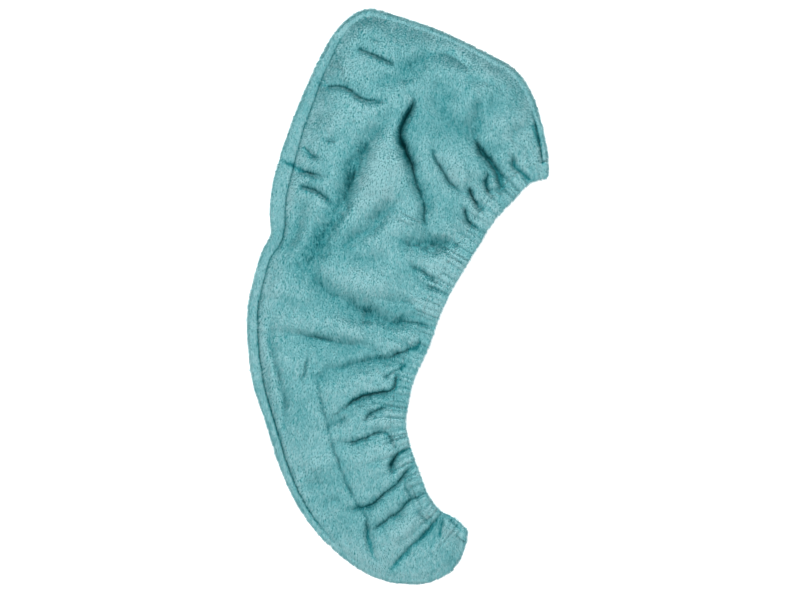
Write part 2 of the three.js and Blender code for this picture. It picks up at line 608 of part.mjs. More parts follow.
// The flat edge outside the seam, from the hem at the hood to the hem at the tail, rounded off outside.
function seamBand() {
  const marks = [...topMarks, ...sideMarks.slice(1), ...tailMarks.slice(1)];
  const last = marks.length - 1;
  const outerStart = crossing(outerLong, hemBeyond, false)[0];
  const outerEnd = crossing(outerLong, hemBeyond, true)[0];
  const innerStart = crossing(seamInner, hemBeyond, false)[0];
  const innerEnd = crossing(seamInner, hemBeyond, true)[0];
  const section = [
    [0, 0],
    [0, 0.86],
    [0.45, 1],
    [0.86, 0.84],
    [1, 0.42],
    [0.9, 0],
  ];
  const points = [];
  marks.forEach((mark, index) => {
    const nearStart = Math.max(0, 1 - index / 4);
    const nearEnd = Math.max(0, 1 - (last - index) / 4);
    const shifted = (start, end) => mark + nearStart * (start - marks[0]) + nearEnd * (end - marks[last]);
    const inner = placeOn(seamInner, shifted(innerStart, innerEnd));
    const outer = placeOn(outerLong, shifted(outerStart, outerEnd));
    for (const [out, up] of section) {
      const place = inner.clone().lerp(outer, out);
      points.push([place.x, place.y, up * SEAM_THICKNESS]);
    }
  });
  const faces = [];
  const size = section.length;
  for (let index = 0; index < last; index += 1) {
    for (let side = 0; side < size; side += 1) {
      const a = index * size + side;
      const b = index * size + ((side + 1) % size);
      faces.push([a, b, b + size]);
      faces.push([a, b + size, a + size]);
    }
  }
  for (let side = 1; side < size - 1; side += 1) {
    faces.push([0, side + 1, side]);
    faces.push([last * size, last * size + side, last * size + side + 1]);
  }
  return meshOf("seam_band", 0x63a2a9, points, faces);
}

// The gathered hem: one flat tube that runs along the upper layer, turns over at the tail's tip,
// comes back along the under layer and turns over again at the hood's corner.
function mouthHem() {
  const count = 2 * GATHER_COUNT;
  const turnInset = HEM_TURN_RADIUS + HEM_THICKNESS / 2;
  const innerFrom = crossing(hemInner, outerLong, false)[0];
  const innerTo = crossing(hemInner, outerLong, true)[0];
  const edgeRun = partOf(mouthLong, 1, mouthLong.length - 2, LINE_STEPS);
  const innerRun = partOf(hemInner, innerFrom, innerTo, LINE_STEPS);
  const runLength = (line) => line.slice(1).reduce((sum, point, i) => sum + point.distanceTo(line[i]), 0);
  const trimmed = (line) => {
    const inset = (turnInset / runLength(line)) * LINE_STEPS;
    return partOf(line, inset, LINE_STEPS - inset, count);
  };
  const edge = trimmed(edgeRun);
  const inner = trimmed(innerRun);
  const section = [
    [0, 0.32],
    [0.4, 0.5],
    [0.82, 0.42],
    [1, 0],
    [0.82, -0.42],
    [0.4, -0.5],
    [0, -0.32],
  ];
  const stations = [];
  const addStation = (index, middle, up, outwards, flat) => {
    stations.push({ inner: inner[index], edge: edge[index], middle, up, outwards, flat });
  };
  const endOutwards = (index, before) => {
    const alongEdge = edge[index].clone().sub(edge[before]);
    return alongEdge.add(inner[index]).sub(inner[before]).normalize();
  };
  const calm = (index) => Math.min(1, index / 8, (count - index) / 8);
  const gather = (index) => (index % 2 ? 1 : -1) * GATHER_HEIGHT * 0.6 * calm(index);
  for (let index = 0; index <= count; index += 1) {
    addStation(index, hemMiddle(index / count) + gather(index), 1, null, 0);
  }
  const lowest = HEM_THICKNESS / 2;
  const turn = (index, outwards, first, last) => {
    for (let step = 1; step < 6; step += 1) {
      const angle = (Math.PI * step) / 6;
      const rise = HEM_TURN_RADIUS * Math.cos(angle) * (first > last ? 1 : -1);
      const out = outwards.clone().multiplyScalar(Math.sin(angle));
      addStation(index, lowest + HEM_TURN_RADIUS + rise, rise / HEM_TURN_RADIUS, out, 0);
    }
  };
  turn(count, endOutwards(count, count - 1), 1, 0);
  for (let index = count; index >= 0; index -= 2) {
    addStation(index, lowest, -1, null, index % 4 ? 0.35 : 0);
  }
  turn(0, endOutwards(0, 1), 0, 1);
  const points = [];
  for (const station of stations) {
    for (const [out, high] of section) {
      const place = station.inner.clone().lerp(station.edge, out);
      let height = station.middle + high * HEM_THICKNESS * station.up;
      if (station.outwards) {
        place.addScaledVector(station.outwards, HEM_TURN_RADIUS + high * HEM_THICKNESS);
      }
      if (station.up === -1 && high > 0) {
        height = 0;
      }
      if (station.flat && high < 0) {
        height += station.flat;
      }
      points.push([place.x, place.y, Math.max(height, 0)]);
    }
  }
  const faces = [];
  const size = section.length;
  stations.forEach((station, index) => {
    const next = ((index + 1) % stations.length) * size;
    for (let side = 0; side < size; side += 1) {
      const a = index * size + side;
      const b = index * size + ((side + 1) % size);
      const c = next + side;
      const d = next + ((side + 1) % size);
      faces.push([a, d, b]);
      faces.push([a, c, d]);
    }
  });
  return meshOf("mouth_hem", 0x6aa8af, points, faces);
}

const turban = new THREE.Group();
turban.name = "hair_turban_towel";
turban.add(upperPanel(), underPanel(), seamBand(), mouthHem());

export default turban;
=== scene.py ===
# %% [markdown]
# # A hair turban towel, lying flat
# The object is a horn-shaped towel of short teal plush, seen from straight above. A broad hood at the top
# narrows to a curved tail. Two layers are seamed along the bowed outer edge, and the hollow inner edge is
# the mouth, drawn together by a gathered hem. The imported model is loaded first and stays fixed: every
# piece made below is in the same frame, in metres.

# %% Load the fixed model
import bpy
import numpy as np
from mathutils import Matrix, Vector


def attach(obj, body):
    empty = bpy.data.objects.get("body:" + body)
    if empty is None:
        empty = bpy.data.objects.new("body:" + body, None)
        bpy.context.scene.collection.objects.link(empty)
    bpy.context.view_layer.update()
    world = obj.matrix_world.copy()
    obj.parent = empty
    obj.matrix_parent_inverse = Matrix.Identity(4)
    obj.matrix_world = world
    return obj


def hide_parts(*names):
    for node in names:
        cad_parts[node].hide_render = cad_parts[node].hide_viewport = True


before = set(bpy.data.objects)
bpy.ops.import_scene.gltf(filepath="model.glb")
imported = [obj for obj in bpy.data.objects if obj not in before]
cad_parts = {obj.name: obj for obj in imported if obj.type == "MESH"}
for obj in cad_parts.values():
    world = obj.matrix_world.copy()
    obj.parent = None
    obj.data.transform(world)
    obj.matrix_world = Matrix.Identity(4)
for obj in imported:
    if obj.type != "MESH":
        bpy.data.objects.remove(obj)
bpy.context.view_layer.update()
MM = 0.001

# %% [markdown]
# ## The outline and its folds
# Cloth is easiest to shape from above: an outline, a height over the table, and a list of folds. The
# outline's points are shares of the towel's width and length, the same ones that the solids were made
# from, so the dressed pieces land on them. A simulated drape could make folds too, but it would put them
# where it likes. Here each fold has its place, so each one is drawn as a stroke with a depth and a reach.

# %% Sizes in millimetres, and the outline
TOWEL_LENGTH, TOWEL_WIDTH = 630, 330
CLOTH = 2.3
SEAM_GAP = 0.3
SEAM_THICKNESS = 2 * CLOTH + SEAM_GAP
SEAM_WIDTH_MOST, HEM_WIDTH_MOST = 17, 18
HEM_THICKNESS, HEM_TURN_RADIUS, MOUTH_GAPE = 4.4, 2.4, 13
HOOD_LOFT, MIDDLE_LOFT, TAIL_LOFT = 23, 17, 12
EDGE_ROLL, MOUTH_ROLL = 26, 30
MIDDLE = np.array([-0.0013 * TOWEL_WIDTH, -0.00025 * TOWEL_LENGTH])

OUTER_EDGE = [
    (0.5, 0.209), (0.492, 0.255), (0.473, 0.303), (0.444, 0.35), (0.394, 0.391), (0.278, 0.427),
    (0.138, 0.462), (0.006, 0.486), (-0.104, 0.5), (-0.16, 0.486), (-0.21, 0.459), (-0.263, 0.411),
    (-0.326, 0.338), (-0.383, 0.258), (-0.421, 0.181), (-0.424, 0.134), (-0.421, 0.112), (-0.452, 0.077),
    (-0.482, 0.023), (-0.5, -0.024), (-0.484, -0.144), (-0.439, -0.219), (-0.386, -0.305), (-0.31, -0.383),
    (-0.193, -0.45), (-0.081, -0.488), (0.019, -0.5), (0.105, -0.497), (0.178, -0.476), (0.215, -0.444),
    (0.23, -0.409),
]
MOUTH_EDGE = [
    (0.5, 0.209), (0.44, 0.199), (0.381, 0.169), (0.318, 0.134), (0.261, 0.086), (0.195, 0.03),
    (0.148, -0.017), (0.095, -0.092), (0.05, -0.143), (0.032, -0.181), (0.021, -0.219), (0.036, -0.258),
    (0.067, -0.307), (0.102, -0.352), (0.138, -0.375), (0.185, -0.388), (0.23, -0.409),
]
SEAM_WIDTHS = [
    (0, 0.32), (0.2, 0.32), (0.27, 0.36), (0.33, 0.62), (0.39, 0.82), (0.45, 1), (0.49, 0.94),
    (0.51, 0.78), (0.53, 0.6), (0.58, 0.62), (0.64, 0.62), (0.7, 0.5), (0.77, 0.4), (0.84, 0.34), (1, 0.34),
]
HEM_WIDTHS = [(0, 0.9), (0.15, 1), (0.5, 1), (0.7, 0.85), (0.86, 0.62), (1, 0.56)]
HEM_HEIGHTS = [
    (0, 0), (0.04, 0.03), (0.18, 0.55), (0.36, 1), (0.62, 1), (0.82, 0.6), (0.96, 0.03), (1, 0),
]
SEAM_DITCH = [
    (0, 1.5), (0.035, 1.3), (0.06, 0), (0.27, 0), (0.31, 0.8), (0.45, 1), (0.55, 1), (0.59, 2),
    (0.66, 2.6), (0.74, 2.4), (0.79, 1), (0.84, 0.2), (0.9, 0), (1, 0),
]
print("outline of", len(OUTER_EDGE), "and", len(MOUTH_EDGE), "points")

# %% [markdown]
# ### The folds
# Each row is one fold: its depth and reach in millimetres, how far it leans to the left of the way it
# runs, how deep the sharp crease along its middle is, and how far the cloth on one side laps over it
# (a lip below nothing laps from the right). Ridges and bulges are rows with a depth below nothing.

# %% The folds, as depth, reach, lean, crease, lip and points
FOLDS = [
    # the long sharp crease in the middle of the hood
    (4, 6, 0.2, 9, -1.2, [(0.059, 0.345), (0.036, 0.323), (0.012, 0.295), (0.009, 0.272), (0.026, 0.246),
        (0.049, 0.218)]),
    (6.5, 11, 0.2, 3.4, -0.8, [(0.009, 0.285), (0.009, 0.272), (0.026, 0.246), (0.049, 0.218),
        (0.069, 0.19), (0.079, 0.161), (0.082, 0.134), (0.095, 0.11)]),
    # the broad hollow left of it
    (7, 14, -0.1, 0.6, 0, [(-0.051, 0.305), (-0.094, 0.274), (-0.13, 0.237), (-0.15, 0.206), (-0.17, 0.181),
        (-0.21, 0.15), (-0.247, 0.112), (-0.27, 0.084), (-0.31, 0.052), (-0.343, 0.023)]),
    (3, 8, 0, 2, 0, [(-0.137, 0.223), (-0.154, 0.201), (-0.174, 0.178)]),
    # broad hollows over the hood and the waist
    (2.4, 9, 0, 0.5, 0, [(0.005, 0.318), (-0.05, 0.298), (-0.095, 0.268), (-0.127, 0.235), (-0.148, 0.2),
        (-0.172, 0.165), (-0.2, 0.135), (-0.226, 0.105), (-0.247, 0.08), (-0.27, 0.05)]),
    (4, 12, 0, 0, 0, [(0.075, 0.105), (0.1, 0.088), (0.15, 0.085), (0.2, 0.095)]),
    (4.5, 14, 0, 0, 0, [(-0.087, 0.356), (-0.044, 0.373), (0.006, 0.385), (0.055, 0.397), (0.105, 0.417)]),
    (3, 10, 0, 0, 0, [(-0.13, 0.1), (-0.09, 0.118), (-0.05, 0.14), (-0.015, 0.16)]),
    (4, 10, 0, 0.6, 0, [(-0.14, -0.02), (-0.081, -0.032), (-0.011, -0.043), (0.03, -0.05)]),
    (3.4, 12, 0, 0, 0, [(-0.41, -0.002), (-0.37, -0.012), (-0.32, -0.022), (-0.26, -0.02)]),
    (3.6, 13, 0, 0, 0, [(0.105, 0.32), (0.125, 0.3), (0.188, 0.281), (0.254, 0.298)]),
    (3.8, 12, 0, 0, 0, [(0.3, 0.262), (0.337, 0.255), (0.404, 0.281)]),
    (3, 9, 0, 0.4, 0, [(-0.383, 0.066), (-0.359, 0.098), (-0.333, 0.133), (-0.313, 0.168)]),
    (3, 9, 0, 0.4, 0, [(-0.27, -0.125), (-0.26, -0.14), (-0.2, -0.145), (-0.14, -0.14)]),
    # the hooked crease by the hood's corner
    (6, 15, 0, 0, 0, [(0.278, 0.345), (0.264, 0.319), (0.254, 0.293), (0.251, 0.269)]),
    (5.5, 8, 0.3, 8, 0, [(0.251, 0.274), (0.271, 0.253), (0.301, 0.237), (0.324, 0.222), (0.334, 0.204),
        (0.337, 0.192), (0.327, 0.18)]),
    (3, 5, 0, 4.5, 0.5, [(0.298, 0.216), (0.294, 0.197), (0.308, 0.176)]),
    # the thin bow below it
    (3.4, 7, 0.2, 3.4, -0.8, [(0.115, 0.255), (0.125, 0.235), (0.145, 0.218), (0.172, 0.195),
        (0.201, 0.181), (0.228, 0.173)]),
    # tucks at the hem
    (3, 5, 0, 6, 0.4, [(0.235, 0.19), (0.245, 0.174), (0.261, 0.159), (0.288, 0.148)]),
    (3, 5, 0, 4.5, 0.8, [(0.215, 0.159), (0.221, 0.145), (0.231, 0.131), (0.258, 0.119)]),
    (3, 6, 0, 4, 0, [(0.437, 0.303), (0.454, 0.289), (0.464, 0.277), (0.47, 0.262)]),
    (2, 8, 0, 0.6, 0, [(0.367, 0.288), (0.407, 0.293), (0.447, 0.298)]),
    (3, 5, 0, 5, 0.3, [(0.381, 0.246), (0.387, 0.235), (0.4, 0.222), (0.42, 0.211), (0.444, 0.202)]),
    (1.5, 4, 0, 3, 0, [(0.185, 0.093), (0.208, 0.082)]),
    # pressed lines near the top
    (2.6, 8, 0.2, 4, 0.4, [(-0.144, 0.438), (-0.101, 0.424), (-0.057, 0.411), (-0.018, 0.399)]),
    (1.5, 6, 0, 0.8, 0, [(-0.094, 0.452), (-0.061, 0.443)]),
    (3.6, 9, 0.4, 3.8, 0.6, [(-0.27, 0.373), (-0.23, 0.366), (-0.19, 0.363), (-0.16, 0.357), (-0.13, 0.347),
        (-0.101, 0.34), (-0.044, 0.338)]),
    # soft hollows round the hood's top
    (2.6, 10, 0, 0.8, 0, [(0.022, 0.398), (0.055, 0.406), (0.089, 0.417), (0.128, 0.422)]),
    (3.4, 9, 0, 0.6, 0, [(0.128, 0.429), (0.188, 0.415), (0.238, 0.399)]),
    (4.4, 12, 0, 0, 0, [(0.118, 0.378), (0.145, 0.363), (0.172, 0.356), (0.211, 0.354)]),
    (2.4, 9, 0, 0.3, 0, [(0.198, 0.378), (0.274, 0.373), (0.327, 0.361), (0.377, 0.345)]),
    (4.6, 13, 0, 0, 0, [(0.089, 0.328), (0.128, 0.331), (0.165, 0.312), (0.172, 0.289)]),
    (3.6, 13, 0, 0, 0, [(0.291, 0.335), (0.354, 0.328)]),
    (1.8, 9, 0, 0.3, 0, [(0.006, 0.37), (0.032, 0.377)]),
    # short folds at the seam
    (3.2, 6, 0, 5.5, 0.5, [(-0.389, 0.241), (-0.356, 0.23), (-0.329, 0.22), (-0.293, 0.211),
        (-0.247, 0.206)]),
    (3, 6, 0.2, 5, 0.5, [(-0.326, 0.194), (-0.286, 0.183), (-0.25, 0.173), (-0.223, 0.159)]),
    (1.8, 4, 0, 4, 0, [(-0.316, 0.26), (-0.29, 0.244), (-0.26, 0.237)]),
    (2, 5, 0, 1.5, 0, [(-0.24, 0.272), (-0.217, 0.265)]),
    (2.4, 10, 0, 0.2, 0, [(-0.313, 0.124), (-0.339, 0.105), (-0.353, 0.086)]),
    # soft hollows and folds across the waist
    (5, 13, 0, 0.5, 0, [(0.006, 0.162), (-0.047, 0.141), (-0.074, 0.131), (-0.12, 0.108), (-0.167, 0.093),
        (-0.213, 0.082)]),
    (6, 13, 0, 1, 0, [(-0.001, 0.098), (0.045, 0.087), (0.095, 0.084), (0.145, 0.091), (0.188, 0.101)]),
    (3.5, 12, 0, 0.3, 0, [(-0.177, 0.059), (-0.127, 0.063), (-0.081, 0.061), (-0.021, 0.068)]),
    (2.4, 6, 0.2, 3.2, -0.6, [(0.032, 0.056), (0.055, 0.049), (0.075, 0.044), (0.105, 0.035),
        (0.135, 0.026)]),
    (1.8, 5, 0, 2.4, 0, [(0.095, 0.021), (0.118, 0.016), (0.142, 0.011)]),
    (2.4, 8, 0, 1, 0, [(-0.037, -0.003), (0.012, -0.009), (0.059, -0.016)]),
    (6.5, 15, -0.2, 0.6, 0, [(-0.31, 0.052), (-0.28, 0.037), (-0.243, 0.012), (-0.197, -0.005),
        (-0.14, -0.024), (-0.081, -0.035), (-0.011, -0.043)]),
    (3.5, 8, 0, 1.8, -0.4, [(-0.011, -0.043), (0.062, -0.045), (0.115, -0.054)]),
    (4.5, 14, -0.5, 0.3, 0, [(-0.419, -0.061), (-0.366, -0.064), (-0.32, -0.066), (-0.273, -0.071),
        (-0.223, -0.078), (-0.167, -0.082), (-0.101, -0.087)]),
    (1, 4, 0, 1.6, 0, [(-0.34, -0.065), (-0.3, -0.068), (-0.26, -0.072), (-0.2, -0.079)]),
    # folds out of the hem
    (5, 9, 0.45, 3.4, -1, [(0.072, -0.068), (0.065, -0.082), (0.049, -0.09), (0.019, -0.094),
        (-0.021, -0.103)]),
    (5.5, 12, 0.5, 0.5, 0, [(0.019, -0.094), (-0.028, -0.104), (-0.117, -0.115), (-0.243, -0.127)]),
    (3, 6, 0.2, 3, -0.5, [(0.026, -0.115), (0.012, -0.125), (-0.018, -0.134), (-0.047, -0.141)]),
    (7, 10, 0.55, 6, -2.2, [(0.009, -0.132), (0.002, -0.144), (-0.011, -0.157), (-0.031, -0.162),
        (-0.071, -0.165), (-0.117, -0.171), (-0.154, -0.179), (-0.19, -0.192)]),
    (3.8, 6, 0.2, 3, -0.5, [(-0.024, -0.186), (-0.061, -0.195), (-0.091, -0.202), (-0.11, -0.216)]),
    (3, 8, 0, 1, 0, [(-0.16, -0.209), (-0.2, -0.216), (-0.24, -0.23)]),
    (5, 8, 0.4, 3, -0.8, [(-0.008, -0.263), (-0.018, -0.253), (-0.024, -0.242), (-0.041, -0.233),
        (-0.064, -0.233), (-0.091, -0.24), (-0.134, -0.249), (-0.193, -0.251)]),
    (5, 6, 0.2, 5.5, -0.8, [(0.036, -0.263), (0.012, -0.27), (-0.008, -0.28), (-0.021, -0.294),
        (-0.024, -0.31)]),
    (5, 8, 0.35, 5, -1.2, [(0.059, -0.291), (0.032, -0.301), (0.012, -0.315), (-0.001, -0.326),
        (-0.041, -0.341), (-0.077, -0.357), (-0.12, -0.366), (-0.16, -0.368)]),
    (4.4, 8, 0.3, 2.8, -0.6, [(0.085, -0.338), (0.065, -0.35), (0.039, -0.355), (0.009, -0.371),
        (-0.028, -0.383), (-0.061, -0.397), (-0.094, -0.408)]),
    (3.4, 7, 0.35, 7, -1, [(0.142, -0.378), (0.115, -0.395), (0.099, -0.408), (0.059, -0.429),
        (0.022, -0.449), (-0.011, -0.469), (-0.031, -0.481)]),
    (2.4, 4, 0, 3.4, 0, [(0.148, -0.39), (0.138, -0.406), (0.132, -0.42)]),
    (1.8, 4, 0, 2.4, 0, [(0.162, -0.385), (0.191, -0.399), (0.218, -0.413)]),
    (1.5, 4, 0, 2, 0, [(0.016, -0.317), (0.026, -0.338), (0.042, -0.355), (0.065, -0.371),
        (0.099, -0.397)]),
    # the long pressed crease down the tail, and short ones beside it
    (1.4, 7, 0.2, 1.5, 0.3, [(-0.276, -0.103), (-0.273, -0.131), (-0.263, -0.158), (-0.253, -0.193),
        (-0.233, -0.228), (-0.217, -0.259), (-0.2, -0.284), (-0.18, -0.312), (-0.15, -0.343),
        (-0.117, -0.378), (-0.101, -0.408), (-0.091, -0.434), (-0.071, -0.46)]),
    (1.6, 4, 0, 1.3, 0, [(-0.296, -0.099), (-0.306, -0.122), (-0.316, -0.153)]),
    (2.4, 6, 0, 4.5, 0, [(-0.107, -0.397), (-0.094, -0.427), (-0.077, -0.458)]),
    # the crease beside the seam
    (2.6, 5, 0.2, 1.3, 0.4, [(-0.419, -0.038), (-0.426, -0.059), (-0.426, -0.075), (-0.412, -0.101),
        (-0.399, -0.134), (-0.386, -0.165), (-0.376, -0.207), (-0.376, -0.249)]),
    (2, 8, 0, 0.4, 0, [(-0.329, -0.333), (-0.293, -0.329), (-0.25, -0.32)]),
    (1.8, 8, 0, 0.4, 0, [(-0.26, -0.368), (-0.227, -0.357), (-0.193, -0.35)]),
    # bulges and ridges
    (-6, 24, 0, 0, 0, [(-0.021, 0.255), (-0.044, 0.211), (-0.087, 0.171)]),
    (-3, 16, 0, 0, 0, [(-0.16, 0.394), (-0.187, 0.391)]),
    (-3.5, 17, 0, 0, 0, [(-0.21, 0.321), (-0.227, 0.281)]),
    (-3.5, 16, 0, 0, 0, [(0.019, 0.129), (0.032, 0.141)]),
    (-4, 15, 0, 0, 0, [(0.178, 0.228), (0.211, 0.206), (0.238, 0.197)]),
    (-3, 12, 0, 0, 0, [(0.387, 0.272), (0.354, 0.255)]),
    (-4, 15, 0, 0, 0, [(-0.177, 0.042), (-0.11, 0.019), (-0.028, 0.025)]),
    (-3.5, 12, 0, 0, 0, [(-0.077, -0.132), (-0.16, -0.143), (-0.243, -0.153)]),
    (-3, 12, 0, 0, 0, [(-0.253, -0.038), (-0.177, -0.052), (-0.094, -0.059)]),
    (-2.5, 12, 0, 0, 0, [(-0.419, 0.025), (-0.393, 0.011)]),
    (-2.5, 12, 0, 0, 0, [(-0.286, -0.277), (-0.266, -0.303)]),
    (-3, 9, 0, 0, 0, [(0.006, -0.334), (-0.044, -0.355), (-0.087, -0.376)]),
    (-3, 9, 0, 0, 0, [(0.072, -0.373), (0.022, -0.399), (-0.028, -0.425)]),
    (-1.8, 5, 0, 0, 0, [(-0.446, -0.038), (-0.446, -0.068), (-0.432, -0.111), (-0.416, -0.155),
        (-0.402, -0.199)]),
]
CREASE_REACH = 1.1
print(len(FOLDS), "folds, the deepest", max(row[0] + row[3] for row in FOLDS), "mm")

# %% [markdown]
# ### Lines, and places beside them
# The outline is a smooth curve through its points. The seam and the hem are that curve moved inwards by
# their own width, and they are cut off where they cross. A place's distance from a line then says how far
# it is from the seam, the hem or a fold, and on which side.

# %% Helpers for lines
STEPS_BETWEEN_POINTS, SLOPE_SPAN = 60, 5
DRAWN_OUT = 40


def placed(shares):
    return np.array(shares, float) * (TOWEL_WIDTH, TOWEL_LENGTH) - MIDDLE


def unit(vectors):
    return vectors / np.maximum(np.linalg.norm(vectors, axis=-1, keepdims=True), 1e-6)


def smooth_line(points, count):
    """A smooth line through points, as count + 1 evenly spaced places."""
    points = np.asarray(points, float)
    ends = np.vstack([2 * points[0] - points[1], points, 2 * points[-1] - points[-2]])
    share = np.linspace(0, 1, STEPS_BETWEEN_POINTS, endpoint=False)[:, None]
    runs = []
    for p0, p1, p2, p3 in zip(ends, ends[1:], ends[2:], ends[3:]):
        d0, d1, d2 = (np.linalg.norm(b - a) ** 0.5 for a, b in ((p0, p1), (p1, p2), (p2, p3)))
        start = ((p1 - p0) / d0 - (p2 - p0) / (d0 + d1) + (p2 - p1) / d1) * d1
        end = ((p2 - p1) / d1 - (p3 - p1) / (d1 + d2) + (p3 - p2) / d2) * d1
        runs.append(p1 + share * start + share**2 * (3 * (p2 - p1) - 2 * start - end)
                    + share**3 * (2 * (p1 - p2) + start + end))
    return part_of(np.vstack([*runs, points[-1:]]), 0, None, count)


def place_on(line, index):
    index = np.asarray(index, float)
    whole = np.clip(np.floor(index).astype(int), 0, len(line) - 2)
    return line[whole] + (line[whole + 1] - line[whole]) * (index - whole)[..., None]


def spread_over(line, start, end, shares):
    """Where places lie on a line between two marks, by share of its length or as an even count."""
    shares = np.linspace(0, 1, shares + 1) if np.isscalar(shares) else shares
    marks = np.r_[start, np.arange(np.floor(start) + 1, end), end]
    steps = np.linalg.norm(np.diff(place_on(line, marks), axis=0), axis=1)
    return np.interp(shares, np.r_[0, np.cumsum(steps)] / steps.sum(), marks)


def part_of(line, start, end, shares):
    return place_on(line, spread_over(line, start, len(line) - 1 if end is None else end, shares))


def table_value(table, way):
    """A table's value by share of the way, eased between its rows."""
    ways, values = np.array(table, float).T
    way = np.clip(way, 0, 1)
    row = np.clip(np.searchsorted(ways, way, side="left") - 1, 0, len(ways) - 2)
    share = (way - ways[row]) / (ways[row + 1] - ways[row])
    share = share * share * (3 - 2 * share)
    return values[row] + (values[row + 1] - values[row]) * share


def inset_line(line, side, width_at):
    """A line moved inwards by its own width at each place, and drawn out straight beyond both ends."""
    last = len(line) - 1
    index = np.arange(last + 1)
    along = unit(line[np.minimum(index + SLOPE_SPAN, last)] - line[np.maximum(index - SLOPE_SPAN, 0)])
    inwards = np.stack([-along[:, 1], along[:, 0]], 1) * side
    moved = line + inwards * np.broadcast_to(width_at(index / last), last + 1)[:, None]
    start, end = unit(moved[0] - moved[SLOPE_SPAN]), unit(moved[last] - moved[last - SLOPE_SPAN])
    return np.vstack([moved[0] + start * DRAWN_OUT, moved, moved[last] + end * DRAWN_OUT])


def crossing(first, second, from_end=False):
    """Where two lines cross, counted in points along each: the crossing nearest the start or the end."""
    step, other = np.diff(first, axis=0)[:, None], np.diff(second, axis=0)[None]
    between = second[None, :-1] - first[:-1, None]
    cross = lambda a, b: a[..., 0] * b[..., 1] - a[..., 1] * b[..., 0]
    turn = cross(step, other)
    turn = np.where(np.abs(turn) < 1e-12, 1e-12, turn)
    on_first, on_second = cross(between, other) / turn, cross(between, step) / turn
    hits = np.argwhere((on_first >= 0) & (on_first < 1) & (on_second >= 0) & (on_second < 1))
    i, j = hits[-1] if from_end else hits[0]
    return i + on_first[i, j], j + on_second[i, j]


def nearest(line, places):
    """Distance from a line, share of the way along it, and the side: 1 on the left, -1 on the right."""
    best = np.full(len(places), np.inf)
    way, side = np.zeros(len(places)), np.ones(len(places))
    for index, (a, b) in enumerate(zip(line, line[1:])):
        run, offset = b - a, places - a
        share = np.clip(offset @ run / (run @ run), 0, 1)
        away = offset - share[:, None] * run
        distance = np.hypot(away[:, 0], away[:, 1])
        closer = distance < best
        best = np.where(closer, distance, best)
        way = np.where(closer, (index + share) / (len(line) - 1), way)
        side = np.where(closer, np.where(run[0] * away[:, 1] - run[1] * away[:, 0] > 0, 1, -1), side)
    return best, way, side


# %% The seam's and the hem's lines
outer_edge = smooth_line(placed(OUTER_EDGE), 600)
mouth_edge = smooth_line(placed(MOUTH_EDGE), 360)
seam_width = lambda way: SEAM_WIDTH_MOST * table_value(SEAM_WIDTHS, way)
hem_width = lambda way: HEM_WIDTH_MOST * table_value(HEM_WIDTHS, way)
hem_inner = inset_line(mouth_edge, -1, hem_width)
hem_beyond = inset_line(mouth_edge, -1, lambda way: hem_width(way) + SEAM_GAP)
seam_inner = inset_line(outer_edge, 1, seam_width)
seam_beyond = inset_line(outer_edge, 1, lambda way: seam_width(way) + SEAM_GAP)
outer_long = inset_line(outer_edge, 1, lambda way: 0 * way)
mouth_long = inset_line(mouth_edge, -1, lambda way: 0 * way)
rim_start, rim_end = crossing(seam_beyond, hem_beyond), crossing(seam_beyond, hem_beyond, True)
seam_rim = part_of(seam_beyond, rim_start[0], rim_end[0], 170)
hem_rim = part_of(hem_beyond, rim_start[1], rim_end[1], 120)
line_length = lambda line: float(np.linalg.norm(np.diff(line, axis=0), axis=1).sum())
print("seam", round(line_length(outer_edge)), "mm, mouth", round(line_length(mouth_edge)), "mm")

# %% [markdown]
# ### Soft unevenness
# Nothing sewn lies perfectly smooth. A small field of smooth random swells, always from the same seed,
# makes the cloth's soft waves, the uneven spacing of the puckers and the way the pile is brushed.

# %% Smooth random swells
FIELD_WIDTH = 900


class Swells:
    """A smooth random field over the towel, from about -1 to 1, with swells about size millimetres wide."""

    def __init__(self, size, seed):
        self.size = size
        count = int(FIELD_WIDTH / size) + 4
        self.knots = np.random.default_rng(seed).uniform(-1, 1, (count, count))

    def __call__(self, places):
        spot = (np.asarray(places, float) + FIELD_WIDTH / 2) / self.size
        whole = np.floor(spot).astype(int)
        share = spot - whole
        share = share * share * (3 - 2 * share)
        i, j = np.moveaxis(np.clip(whole, 0, len(self.knots) - 2), -1, 0)
        u, v = np.moveaxis(share, -1, 0)
        low = self.knots[i, j] * (1 - u) + self.knots[i + 1, j] * u
        high = self.knots[i, j + 1] * (1 - u) + self.knots[i + 1, j + 1] * u
        return low * (1 - v) + high * v


broad_waves, small_waves = Swells(34, 3), Swells(13, 5)
strays = [(Swells(26, 61), Swells(26, 63), 2), (Swells(8, 65), Swells(8, 67), 1.2)]


def astray(places):
    """The places moved a little to and fro, so that what is drawn through them isn't quite straight."""
    moved = sum(size * np.stack([across(places), along(places)], -1) for across, along, size in strays)
    return places + moved


print("broad waves at the middle", round(float(broad_waves([0, 0])), 3))

# %% [markdown]
# ### The puckers of the gathered hem
# Elastic draws the hem in, so the cloth on it stands in rows of narrow puckers. Their crests are round and
# their valleys are pinched, which a sine raised to a power under one gives. They run on into the panel,
# where the small ones die out first.

# %% Pucker shapes along the hem
PUCKER_COUNT = 74
FINE_PUCKER, MIDDLE_PUCKER, LARGE_PUCKER = 1.6, 1.7, 1.5
FINE_FADE, MIDDLE_FADE, LARGE_FADE = 17, 22, 45
CALMED_ON_HEM = 0.6


def puckers(way, count, seed, power=0.7):
    """Rows of round crests and pinched valleys along the hem, from -1 to 1, unevenly spaced."""
    knots = np.random.default_rng(seed).uniform(-0.32, 0.32, count + 2)
    drift = np.interp(way * count, np.arange(count + 2), knots)
    size = np.random.default_rng(seed + 1).uniform(0.25, 1, count + 2)
    strength = np.interp(way * count, np.arange(count + 2), size)
    return (2 * np.abs(np.sin(np.pi * (way * count + drift))) ** power - 1) * strength


